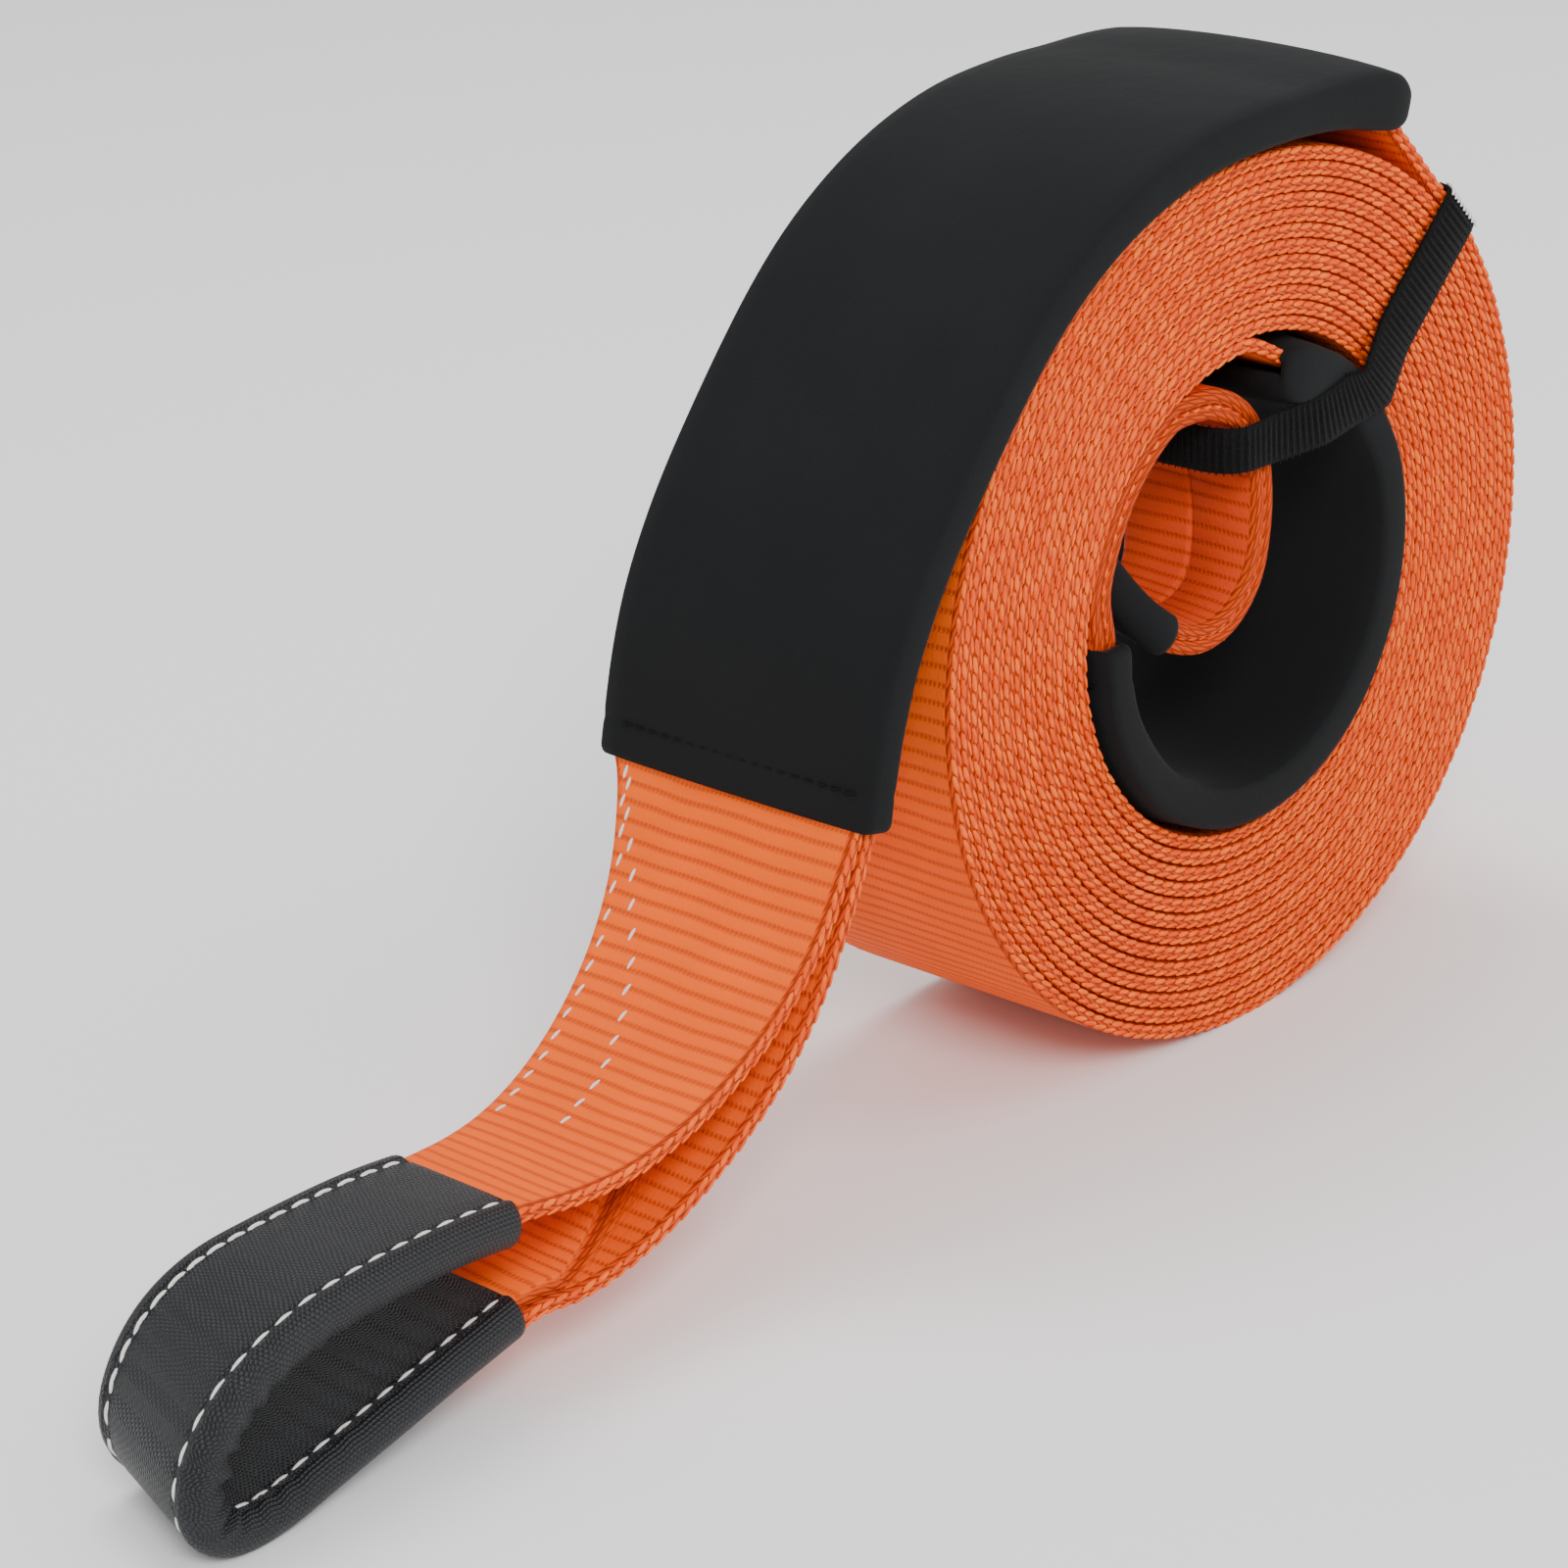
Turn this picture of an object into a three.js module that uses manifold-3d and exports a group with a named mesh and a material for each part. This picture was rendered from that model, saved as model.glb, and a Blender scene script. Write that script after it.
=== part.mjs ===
// Rolled recovery strap with a sewn eye, a wear cover and a slide-on sleeve at each end.
// Units are millimetres and +Z is up. The roll's axis is parallel to Y. The origin is on the floor, in the
// middle of the flat that the roll stands on. The free end runs towards -X and its eye lies on the floor.

import * as THREE from 'three';
import { mergeVertices } from 'three/addons/utils/BufferGeometryUtils.js';
import Module from 'manifold-3d';

const wasm = await Module();
wasm.setup();

// Webbing
const WEB_WIDTH = 75;
const PLY = 3.8;
const EYE_WIDTH = 38;
const EDGE_CHAMFER = 0.8;
const TAPER_POWER = 0.85;
const PLY_BOND = 0.15;
const STRIP_STEP = 7;
const SLEEVE_STEP = 8;
const ROOT_INSET = 1.4;
const ROOT_FADE = 14;

// Roll: it winds inwards clockwise, seen from -Y, from the angle where the free end leaves it
const ROLL_RADIUS = 109.8;
const ROLL_HEIGHT = 108;
const LEAVE_DEG = 43;
const LAPS = 12.87;
const BULGE = 3.6;
const BULGE_DEG = 47;
const BULGE_SPREAD_DEG = 32;
const BORE_EASE = 0.7;
const BORE_LIFT = 2.4;
const BORE_LIFT_DEG = 100;
const STEPS_PER_LAP = 44;
const GROOVE_STEPS_PER_LAP = 26;
const GROOVE_WIDTH = 1.2;
const GROOVE_DEPTH = 1.6;
const GROOVE_START_LAPS = 1.06;
const GROOVE_END_LAPS = LAPS - 0.08;

// Sleeves, of soft foam-backed cloth, and the eyes' woven covers
const SLEEVE_WALL = 2.4;
const SLEEVE_SIDE_WALL = 4;
const MOUTH_SWELL = 3;
const MOUTH_REACH = 105;
const MOUTH_SWELL_LENGTH = 45;
const INNER_SWELL_DEG = 44;
const EXIT_SQUEEZE = 1.1;
const EXIT_SQUEEZE_LENGTH = 60;
const COVER_WALL = 0.9;
const COVER_SIDE_WALL = 1.5;
const COVER_CORNER = 2;
const COVER_EDGE_X = -247;
const COVER_HOLE_OVERRUN = 12;
const FIT_GAP = 0.3;
const END_OVERRUN = 1;

// Elastic keeper band
const BAND_DEG = 42.7;
const BAND_WIDTH = 16;
const BAND_INSIDE_WIDTH = 12;
const BAND_THICKNESS = 1.4;
const BAND_GAP = 0.4;
const BAND_CORNER = 2.2;
const BAND_LIFT = 3;
const BAND_PINCH = 1;
// From the bore's edge to the curl: X, Z, how far out from the roll's face, width, share of the turn from
// radial to upright, and the angle between the band's face and the roll's
const BAND_CROSSING = [[36, 149.2, 3, 15, 0.45, 0], [24, 147.2, 3, 14, 0.75, 0], [10, 146, 0, 13, 1, 0],
  [-1, 145.7, -0.4, 12, 1, 20], [-5, 145.7, -3.4, 12, 1, 51], [-6.4, 145.6, -9, 12, 1, 84]];
const BAND_INSIDE = [-6.6, 0, 145.2];

const NEAR_EDGE = -WEB_WIDTH / 2;
const EYE_THICKNESS = 2 * PLY;
const SLEEVE_HALF = PLY + FIT_GAP + SLEEVE_WALL;

const rad = (deg) => deg * Math.PI / 180;
const lerp = (a, b, t) => a + (b - a) * t;
const clamp01 = (t) => Math.min(1, Math.max(0, t));
const smooth = (t) => clamp01(t) ** 2 * (3 - 2 * clamp01(t));

// The roll's outline. Hand rolling leaves a slight bulge, and the bore sits a little high.
function outerEase(deg) {
  const away = ((deg - BULGE_DEG) % 360 + 540) % 360 - 180;
  return BULGE * Math.exp(-((away / BULGE_SPREAD_DEG) ** 2));
}

function boreEase(deg) {
  return BORE_EASE + BORE_LIFT * Math.cos(rad(deg - BORE_LIFT_DEG)) + outerEase(deg) / 2;
}

// Outer face of the webbing after so many laps, and an offset outwards from it
function spiral(laps, offset = 0) {
  const deg = LEAVE_DEG - 360 * laps;
  const ease = lerp(outerEase(deg), boreEase(deg), laps / LAPS);
  return { deg, radius: ROLL_RADIUS - PLY * laps + ease + offset };
}

function polar({ deg, radius }) {
  return [radius * Math.cos(rad(deg)), ROLL_HEIGHT + radius * Math.sin(rad(deg))];
}

// Laps wound when the outermost turn, or the bore's own turn, passes an angle
const firstTurn = (deg) => (LEAVE_DEG + 360 - deg) / 360;
const boreTurn = (deg) => LAPS - 1 + (90 - deg) / 360;
const onRoll = (deg, offset) => polar(spiral(firstTurn(deg), offset));
const inBore = (deg, offset) => polar(spiral(boreTurn(deg), -PLY - offset));

// Closed solids
function toSolid(geometry) {
  geometry.deleteAttribute('normal');
  geometry.deleteAttribute('uv');
  const merged = mergeVertices(geometry, 1e-4);
  return new wasm.Manifold(new wasm.Mesh({
    numProp: 3,
    vertProperties: new Float32Array(merged.attributes.position.array),
    triVerts: new Uint32Array(merged.index.array),
  }));
}

function toGeometry(solid) {
  const mesh = solid.getMesh();
  const geometry = new THREE.BufferGeometry();
  geometry.setAttribute('position', new THREE.BufferAttribute(mesh.vertProperties, 3));
  geometry.setIndex(new THREE.BufferAttribute(mesh.triVerts, 1));
  geometry.computeVertexNormals();
  return geometry;
}

// A skin through rings of points. An open run of convex rings gets flat ends; a loop closes on itself.
function skin(rings, loop = false) {
  const count = rings[0].length;
  const spans = loop ? rings.length : rings.length - 1;
  const index = [];
  for (let i = 0; i < spans; i += 1) {
    const here = i * count;
    const next = ((i + 1) % rings.length) * count;
    for (let j = 0; j < count; j += 1) {
      const k = (j + 1) % count;
      index.push(here + j, here + k, next + j, here + k, next + k, next + j);
    }
  }
  const last = (rings.length - 1) * count;
  for (let j = 1; !loop && j < count - 1; j += 1) {
    index.push(0, j + 1, j, last, last + j, last + j + 1);
  }
  const geometry = new THREE.BufferGeometry();
  const positions = rings.flat().flatMap((point) => point.toArray());
  geometry.setAttribute('position', new THREE.Float32BufferAttribute(positions, 3));
  geometry.setIndex(index);
  return toSolid(geometry);
}

// Outlines of a section: across is along the strap's width, up is through its thickness
function chamferedOutline(width, thickness, { corner = EDGE_CHAMFER }) {
  const w = width / 2;
  const t = thickness / 2;
  const c = Math.min(corner, 0.8 * t);
  return [
    [c - w, -t], [w - c, -t], [w, c - t], [w, t - c],
    [w - c, t], [c - w, t], [-w, t - c], [-w, c - t],
  ];
}

function roundSidedOutline(width, thickness) {
  const r = thickness / 2;
  const arc = [-90, -30, 30, 90].map((deg) => [r * Math.cos(rad(deg)), r * Math.sin(rad(deg))]);
  const right = arc.map(([x, y]) => [width / 2 - r + x, y]);
  const left = arc.map(([x, y]) => [r - width / 2 - x, -y]);
  return [...right, ...left];
}

// A station is a place on a path in the X-Z plane, with the strap's near and far edges across Y, its
// thickness, and lean: how far the strap moves along X and Z for each millimetre from its near edge.
function tangentAt(stations, i) {
  const before = stations[Math.max(0, i - 1)];
  const after = stations[Math.min(stations.length - 1, i + 1)];
  return new THREE.Vector3(after.x - before.x, 0, after.z - before.z).normalize();
}

function strip(stations, outline, sideRoom = 0, faceRoom = 0) {
  const rings = stations.map((station, i) => {
    const across = new THREE.Vector3(station.leanX ?? 0, 1, station.leanZ ?? 0);
    const up = new THREE.Vector3().crossVectors(tangentAt(stations, i), across).normalize();
    const width = station.far - station.near + 2 * sideRoom;
    const middle = (station.near + station.far) / 2;
    return outline(width, station.thick + 2 * faceRoom, station).map(([a, t]) => {
      const point = new THREE.Vector3(station.x, station.near, station.z);
      return point.addScaledVector(across, middle + a - station.near).addScaledVector(up, t);
    });
  });
  return skin(rings);
}

function alongCurve(points, step) {
  const curve = new THREE.CatmullRomCurve3(points.map(([x, z]) => new THREE.Vector3(x, 0, z)));
  curve.curveType = 'centripetal';
  const length = curve.getLength();
  const count = Math.round(length / step);
  return curve.getSpacedPoints(count).map(({ x, z }, i) => ({ x, z, s: length * i / count }));
}

// Stations moved sideways in the face plane, to the left of the way that they run
function besides(stations, distance) {
  return stations.map((station, i) => {
    const along = tangentAt(stations, i);
    return { ...station, x: station.x - along.z * distance, z: station.z + along.x * distance };
  });
}

const asPoints = (stations) => stations.map(({ x, z }) => [x, z]);
const nearest = (stations, [x, z]) => stations.reduce((best, station) => (
  Math.hypot(station.x - x, station.z - z) < Math.hypot(best.x - x, best.z - z) ? station : best));

// Ends push on past a cut so that no thin skin is left across a mouth
function pushedOut(stations, distance) {
  const first = tangentAt(stations, 0);
  const last = tangentAt(stations, stations.length - 1);
  const start = stations[0];
  const end = stations[stations.length - 1];
  return [
    { ...start, x: start.x - first.x * distance, z: start.z - first.z * distance },
    ...stations,
    { ...end, x: end.x + last.x * distance, z: end.z + last.z * distance },
  ];
}

// Outer sleeve: its middle line, from the mouth on top of the roll to the hem above the tail
const SLEEVE_MOUTH = [[60, 215.5], [50, 218.4], [37, 220.6], [22, 221.7]];
const SLEEVE_DROP = [[-106, 159.8], [-117, 144.6], [-125.2, 130], [-130.2, 117], [-133.5, 105], [-136, 94]];
const onTop = [88, 100, 112, 124, 135].map((deg) => onRoll(deg, FIT_GAP + SLEEVE_HALF));
const outerMiddle = alongCurve([...SLEEVE_MOUTH, ...onTop, ...SLEEVE_DROP], SLEEVE_STEP);

function sleeveStations(middle, pinchAt) {
  const length = middle[middle.length - 1].s;
  return middle.map((station) => {
    const swell = MOUTH_SWELL * smooth(1 - station.s / MOUTH_SWELL_LENGTH);
    const squeeze = EXIT_SQUEEZE * smooth(1 - (length - station.s) / EXIT_SQUEEZE_LENGTH);
    const pinch = BAND_PINCH * smooth(1.4 - Math.abs(station.s - pinchAt) / BAND_WIDTH);
    const halfWidth = WEB_WIDTH / 2 + FIT_GAP + SLEEVE_SIDE_WALL - pinch;
    return {
      ...station,
      near: -halfWidth,
      far: halfWidth,
      thick: 2 * (SLEEVE_HALF + swell - squeeze),
      swell,
    };
  });
}

// Free end: the near centre line of the leg that comes back under the tail, the eye, and the upper leg
const LOWER_LEG = [[-137.4, 86], [-142, 77], [-146.6, 69], [-151.6, 61.4], [-157, 54.6], [-163.5, 48],
  [-171, 41.8], [-179.5, 36.2], [-189, 31], [-199, 26.6], [-209, 23.3], [-219.5, 21.2], [-230, 20.6],
  [-242, 21.8]];
const EYE = [[-261, 18.3], [-281, 13.6], [-301, 8.9], [-316, 5.4], [-325, 4.82], [-331, 6.3], [-335.2, 10.2],
  [-336.6, 15.2], [-335.6, 21], [-332, 27], [-325.5, 33.2], [-316.5, 38.2], [-304, 42], [-290, 43.6],
  [-275, 44], [-262, 43.7]];
const UPPER_LEG = [[-250, 42.6], [-240, 41.2], [-230, 39.9], [-218, 39.4], [-207, 40.4], [-195, 43.2],
  [-183, 47.9], [-173, 53.3], [-164, 59.6], [-155.4, 67.6], [-148.6, 76], [-143.4, 84.6]];
const EYE_TIP = [-336.6, 15.2];
const EYE_LEAN_X = 0.28;
const EYE_LEAN_Z = 0.1;
const EYE_LEAN_LENGTH = 70;

// Where the webbing climbs off the roll and goes into the sleeve
const CLIMB_LENGTHS = [12, 22, 31];
const SLEEVE_ENTRY = [[50.5, 216.2], [43, 218.2]];
const SLEEVE_ENTRY_X = 34;

const leaving = [0.045, 0.02, 0].map((laps) => polar(spiral(laps, -PLY / 2)));
const [leaveX, leaveZ] = leaving[2];
const climb = CLIMB_LENGTHS.map((d) => [
  leaveX - d * Math.sin(rad(LEAVE_DEG)),
  leaveZ + d * Math.cos(rad(LEAVE_DEG)),
]);
const inSleeve = outerMiddle.filter((station) => station.x < SLEEVE_ENTRY_X);
const underPly = besides(inSleeve, PLY / 2 - PLY_BOND);
const overPly = besides(inSleeve, PLY_BOND - PLY / 2).reverse();
const freeEnd = alongCurve([
  ...leaving, ...climb, ...SLEEVE_ENTRY, ...asPoints(underPly),
  ...LOWER_LEG, ...EYE, ...UPPER_LEG, ...asPoints(overPly),
], STRIP_STEP);

// A strip starts a little small inside the roll's own body, and is full size just after it comes out
function rooted(station, outAt) {
  const inset = ROOT_INSET * smooth(1 - (station.s - outAt) / ROOT_FADE);
  return {
    ...station,
    near: station.near + inset / 2,
    far: station.far - inset / 2,
    thick: station.thick - inset,
  };
}

const hemPoint = SLEEVE_DROP[SLEEVE_DROP.length - 1];
const tipAt = nearest(freeEnd, EYE_TIP).s;
const firstHem = nearest(freeEnd.filter(({ s }) => s < tipAt), hemPoint).s;
const secondHem = nearest(freeEnd.filter(({ s }) => s > tipAt), hemPoint).s;
const legLength = secondHem - freeEnd.find(({ s, x }) => s > tipAt && x > COVER_EDGE_X).s;
const leaveAt = nearest(freeEnd, leaving[2]).s;

// Width and thickness of a leg this far from the sleeve: it is folded lengthways as it nears the eye
function legSize(distance) {
  const width = lerp(WEB_WIDTH, EYE_WIDTH, clamp01(distance / legLength) ** TAPER_POWER);
  return { width, thick: Math.min(PLY * WEB_WIDTH / width, EYE_THICKNESS) };
}

const freeStations = freeEnd.map((station) => {
  const { width, thick } = legSize(Math.min(station.s - firstHem, secondHem - station.s));
  const lean = smooth(1 - Math.abs(station.s - tipAt) / EYE_LEAN_LENGTH);
  return rooted({
    ...station,
    near: NEAR_EDGE,
    far: NEAR_EDGE + width,
    thick,
    leanX: EYE_LEAN_X * lean,
    leanZ: EYE_LEAN_Z * lean,
  }, leaveAt);
});

// Inner end: it leaves the bore's last turn, runs through its sleeve round the bore, and curls up in
// the middle
const INNER_DEGS = [78, 66, 54, 40, 20, 0, -22, -45, -68, -90, -112, -135, -158, -172, -184];
const innerSwell = (deg) => MOUTH_SWELL * smooth(1 - (INNER_DEGS[0] - deg) / INNER_SWELL_DEG);
const innerMiddle = alongCurve(INNER_DEGS.map((deg) => (
  inBore(deg, 2 * FIT_GAP + SLEEVE_HALF + innerSwell(deg)))), SLEEVE_STEP);
const beforeSleeve = [112, 104, 96, 89].map((deg) => polar(spiral(LAPS + (90 - deg) / 360, -PLY / 2)));
const innerPly = besides(innerMiddle, PLY / 2).filter((station) => station.s > SLEEVE_STEP);
const innerStart = alongCurve([...beforeSleeve, ...asPoints(innerPly)], STRIP_STEP);

const INNER_COVER_START = [-27, 105.4];
const EDGE_SET_BACK = 1.6;
const EYE_SET_BACK = 22;
const SET_BACK_LENGTH = 50;
const TAIL_END_DEPTH = 60;
const INNER_LEAN_X = 0.2;
const INNER_LEAN_Z = 0.14;
const INNER_LEAN_LENGTH = 60;
const INNER_LEAN_AHEAD = 45;

const upTheWall = [-196, -208, -220, -232, -244].map((deg) => inBore(deg, FIT_GAP + PLY));
const CURL = [[-19.5, 159.3], [-8.5, 158.2], [0.7, 153.2], [6.6, 145], [8.9, 134], [8.4, 122.5], [5, 111.6],
  [-3, 104], [-13, 101.6], [-22, 103.6]];
const INNER_EYE = [[-29.5, 107.6], [-35.6, 114.4], [-38.5, 124], [-36, 134], [-28.5, 141.4], [-18.5, 145.6]];
const innerTail = innerMiddle.filter((station) => station.s > TAIL_END_DEPTH);
const curlPath = alongCurve([...asPoints(innerTail), ...upTheWall, ...CURL, ...INNER_EYE], STRIP_STEP);

const curlHem = nearest(curlPath, asPoints(innerMiddle)[innerMiddle.length - 1]).s;
const innerCoverAt = nearest(curlPath, INNER_COVER_START).s;
const curlEnd = curlPath[curlPath.length - 1].s;
const curlStations = curlPath.map((station) => {
  const { width } = legSize(station.s - curlHem);
  const setBack = EDGE_SET_BACK * smooth((station.s - curlHem) / SET_BACK_LENGTH)
    + EYE_SET_BACK * smooth((station.s - innerCoverAt) / SET_BACK_LENGTH);
  const lean = smooth((station.s - innerCoverAt + INNER_LEAN_AHEAD) / INNER_LEAN_LENGTH)
    * smooth((curlEnd - station.s) / INNER_LEAN_LENGTH);
  return {
    ...station,
    near: NEAR_EDGE + setBack,
    far: NEAR_EDGE + setBack + width,
    thick: EYE_THICKNESS,
    leanX: INNER_LEAN_X * lean,
    leanZ: INNER_LEAN_Z * lean,
  };
});
const tongueOutAt = nearest(innerStart, beforeSleeve[3]).s;
const tongueStations = innerStart.map((station) => rooted({
  ...station, near: NEAR_EDGE, far: -NEAR_EDGE, thick: PLY,
}, tongueOutAt));

// The roll's body is one ring, and the joints between its turns are cut into both faces
function rollBody() {
  const turn = (startLaps, offset) => Array.from({ length: STEPS_PER_LAP + 1 }, (_, i) => (
    new THREE.Vector2(...polar(spiral(startLaps + i / STEPS_PER_LAP, offset)))));
  const outline = new THREE.Shape(turn(0, 0).reverse());
  outline.holes.push(new THREE.Path(turn(LAPS - 1, -PLY)));
  const geometry = new THREE.ExtrudeGeometry(outline, { depth: WEB_WIDTH, bevelEnabled: false });
  geometry.rotateX(Math.PI / 2);
  geometry.translate(0, WEB_WIDTH / 2, 0);
  const underFloor = new THREE.BoxGeometry(ROLL_RADIUS, 2 * WEB_WIDTH, ROLL_RADIUS);
  underFloor.translate(0, 0, -ROLL_RADIUS / 2);
  return toSolid(geometry).subtract(toSolid(underFloor));
}

function turnGroove(side) {
  const laps = GROOVE_END_LAPS - GROOVE_START_LAPS;
  const steps = Math.round(GROOVE_STEPS_PER_LAP * laps);
  const rings = [];
  for (let i = 0; i <= steps; i += 1) {
    const at = GROOVE_START_LAPS + laps * i / steps;
    const points = [[GROOVE_WIDTH / 2, FIT_GAP], [-GROOVE_WIDTH / 2, FIT_GAP], [0, -GROOVE_DEPTH]];
    rings.push(points.map(([offset, out]) => {
      const [x, z] = polar(spiral(at, offset));
      return new THREE.Vector3(x, side * (WEB_WIDTH / 2 + out), z);
    }));
  }
  if (side > 0) rings.reverse();
  return skin(rings);
}

function makeWebbing() {
  return rollBody()
    .subtract(turnGroove(1))
    .subtract(turnGroove(-1))
    .add(strip(freeStations, chamferedOutline))
    .add(strip(tongueStations, chamferedOutline))
    .add(strip(curlStations, chamferedOutline));
}

// A sleeve is a soft tube pressed flat over two plies, with a swollen mouth
function makeSleeve(middle, passing, pinchAt = Infinity) {
  const stations = sleeveStations(middle, pinchAt);
  const hollow = stations.map((station) => ({
    ...station,
    near: NEAR_EDGE - FIT_GAP,
    far: -NEAR_EDGE + FIT_GAP,
    thick: 2 * (PLY + FIT_GAP + station.swell),
    corner: EDGE_CHAMFER + station.swell,
  }));
  return strip(stations, roundSidedOutline)
    .subtract(strip(pushedOut(hollow, END_OVERRUN), chamferedOutline))
    .subtract(strip(passing, chamferedOutline, FIT_GAP, FIT_GAP));
}

// An eye's cover is a closed tube round the folded webbing
const coverOutline = (width, thickness) => chamferedOutline(width, thickness, { corner: COVER_CORNER });

function makeCover(stations, hole) {
  const sides = COVER_SIDE_WALL + FIT_GAP;
  const faces = COVER_WALL + FIT_GAP;
  return strip(stations, coverOutline, sides, faces)
    .subtract(strip(hole, chamferedOutline, FIT_GAP, FIT_GAP));
}

const outerCoverStations = freeStations.filter(({ x }) => x < COVER_EDGE_X);
const outerCoverHole = freeStations.filter(({ x }) => x < COVER_EDGE_X + STRIP_STEP);
const innerCoverStations = curlStations.filter(({ s }) => s >= innerCoverAt);
const innerCoverHole = pushedOut(
  curlStations.filter(({ s }) => s >= innerCoverAt - COVER_HOLE_OVERRUN), END_OVERRUN);

// Elastic band: over the outermost turn, in along each face, and loosely through the bore and the curl
function bandLoop() {
  const out = new THREE.Vector3(Math.cos(rad(BAND_DEG)), 0, Math.sin(rad(BAND_DEG)));
  const aside = new THREE.Vector3(-out.z, 0, out.x);
  const up = new THREE.Vector3(0, 0, 1);
  const axle = new THREE.Vector3(0, 0, ROLL_HEIGHT);
  const stand = BAND_GAP + BAND_THICKNESS / 2;
  const faceY = WEB_WIDTH / 2 + stand;
  const outerR = spiral(0).radius + stand;
  const boreR = spiral(boreTurn(BAND_DEG), -PLY).radius;
  const station = (at, width, turn, normal) => ({ at, width, turn, normal });
  const onRing = (radius, y, normal) => (
    station(axle.clone().addScaledVector(out, radius).setY(y), BAND_WIDTH, 0, normal));
  const flat = new THREE.Vector3(0, 1, 0);
  const half = [
    onRing(outerR, 0, out),
    onRing(outerR, faceY - BAND_CORNER, out),
    onRing(outerR - BAND_CORNER / 5, faceY - BAND_CORNER / 5, out.clone().setY(1)),
    onRing(outerR - BAND_CORNER, faceY, flat),
    onRing(boreR + BAND_WIDTH / 2, faceY, flat),
    onRing(boreR - BAND_LIFT, faceY + BAND_LIFT, flat),
    ...BAND_CROSSING.map(([x, z, y, width, turn, facing]) => station(
      new THREE.Vector3(x, faceY + y, z), width, turn,
      new THREE.Vector3(-Math.sin(rad(facing)), Math.cos(rad(facing)), 0))),
    station(new THREE.Vector3(...BAND_INSIDE), BAND_INSIDE_WIDTH, 1, new THREE.Vector3(-1, 0, 0)),
  ];
  const mirrored = half.slice(1, -1).reverse().map(({ at, normal, ...rest }) => ({
    ...rest,
    at: at.clone().setY(-at.y),
    normal: normal.clone().setY(-normal.y),
  }));
  return [...half, ...mirrored].map(({ at, width, turn, normal }) => {
    const across = aside.clone().lerp(up, turn).normalize();
    const thick = normal.clone().normalize();
    return [[-1, -1], [1, -1], [1, 1], [-1, 1]].map(([a, t]) => at.clone()
      .addScaledVector(across, a * width / 2)
      .addScaledVector(thick, t * BAND_THICKNESS / 2));
  });
}

// Materials
const cloth = (color, roughness) => new THREE.MeshStandardMaterial({ color, roughness, metalness: 0 });
const orangeWebbing = cloth(0xff7430, 0.75);
const sleeveCloth = cloth(0x26282a, 0.85);
const coverCloth = cloth(0x2c3136, 0.6);
const bandElastic = cloth(0x1b1b1c, 0.8);

function piece(name, solid, material) {
  const mesh = new THREE.Mesh(toGeometry(solid), material);
  mesh.name = name;
  return mesh;
}

const pinchAt = nearest(innerMiddle, inBore(BAND_DEG, FIT_GAP + SLEEVE_HALF)).s;
const underTheMouth = freeStations.filter(({ s }) => s < MOUTH_REACH);
const tongueInMouth = tongueStations.filter(({ s }) => s < MOUTH_REACH);
const strap = new THREE.Group();
strap.add(
  piece('webbing', makeWebbing(), orangeWebbing),
  piece('outer_sleeve', makeSleeve(outerMiddle, underTheMouth), sleeveCloth),
  piece('inner_sleeve', makeSleeve(innerMiddle, tongueInMouth, pinchAt), sleeveCloth),
  piece('outer_eye_cover', makeCover(outerCoverStations, outerCoverHole), coverCloth),
  piece('inner_eye_cover', makeCover(innerCoverStations, innerCoverHole), coverCloth),
  piece('elastic_band', skin(bandLoop(), true), bandElastic),
);

export default strap;
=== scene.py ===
"""Rolled recovery strap: wound webbing, sleeves, eye covers, stitching and keeper band.

Lengths in the making of the pieces are millimetres. Meshes are in metres, in the frame of the solid model.
"""

import math

import bpy
import numpy as np
from mathutils import Matrix, Vector


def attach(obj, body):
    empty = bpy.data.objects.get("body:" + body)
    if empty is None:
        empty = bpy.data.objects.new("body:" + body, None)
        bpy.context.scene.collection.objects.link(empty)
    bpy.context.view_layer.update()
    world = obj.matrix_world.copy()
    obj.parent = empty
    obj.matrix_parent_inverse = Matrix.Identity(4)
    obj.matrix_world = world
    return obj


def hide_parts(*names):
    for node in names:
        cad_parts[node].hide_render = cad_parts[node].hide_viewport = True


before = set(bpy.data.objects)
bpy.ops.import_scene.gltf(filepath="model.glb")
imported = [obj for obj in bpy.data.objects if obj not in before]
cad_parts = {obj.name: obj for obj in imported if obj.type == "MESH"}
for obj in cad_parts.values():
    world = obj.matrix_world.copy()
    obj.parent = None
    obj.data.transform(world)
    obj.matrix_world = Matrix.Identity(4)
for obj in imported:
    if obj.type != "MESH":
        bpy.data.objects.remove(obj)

bl_info = {
    "name": "Rolled recovery strap",
    "version": (1, 0, 0),
    "blender": (4, 5, 0),
    "location": "3D View > Sidebar > Strap",
    "description": "Builds a rolled recovery strap with its sleeves, eye covers, stitching and keeper band",
    "category": "Add Mesh",
}

MM = 0.001
UV_PER_MM = 0.01

# Webbing
WEB_WIDTH = 75.0
PLY = 3.8
PLY_SOLID = 3.68
NEAR = -WEB_WIDTH / 2
EDGE_ROUND = 1.5
EYE_WIDTH = 38.0
TAPER_LENGTH = 135.0
TAPER_POWER = 0.85
FACE_INSET = 0.7
EYE_LEAN_LENGTH = 70
EYE_LEAN_X = 0.28
EYE_LEAN_Z = 0.1
INNER_LEAN_LENGTH = 60
INNER_LEAN_X = 0.2
INNER_LEAN_Z = 0.14
FOLD_START = 5.0
FOLD_SWELL = 1.4
INNER_FOLD = 3.0
INNER_SEAM_SHARE = 0.45
INNER_LEG_SET_BACK = 1.6
INNER_EYE_SET_BACK = 22
SET_BACK_LENGTH = 50

# Roll
ROLL_RADIUS = 109.8
ROLL_HEIGHT = 108.0
LEAVE_DEG = 43.0
LAPS = 12.87
STEPS_PER_LAP = 108

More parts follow.
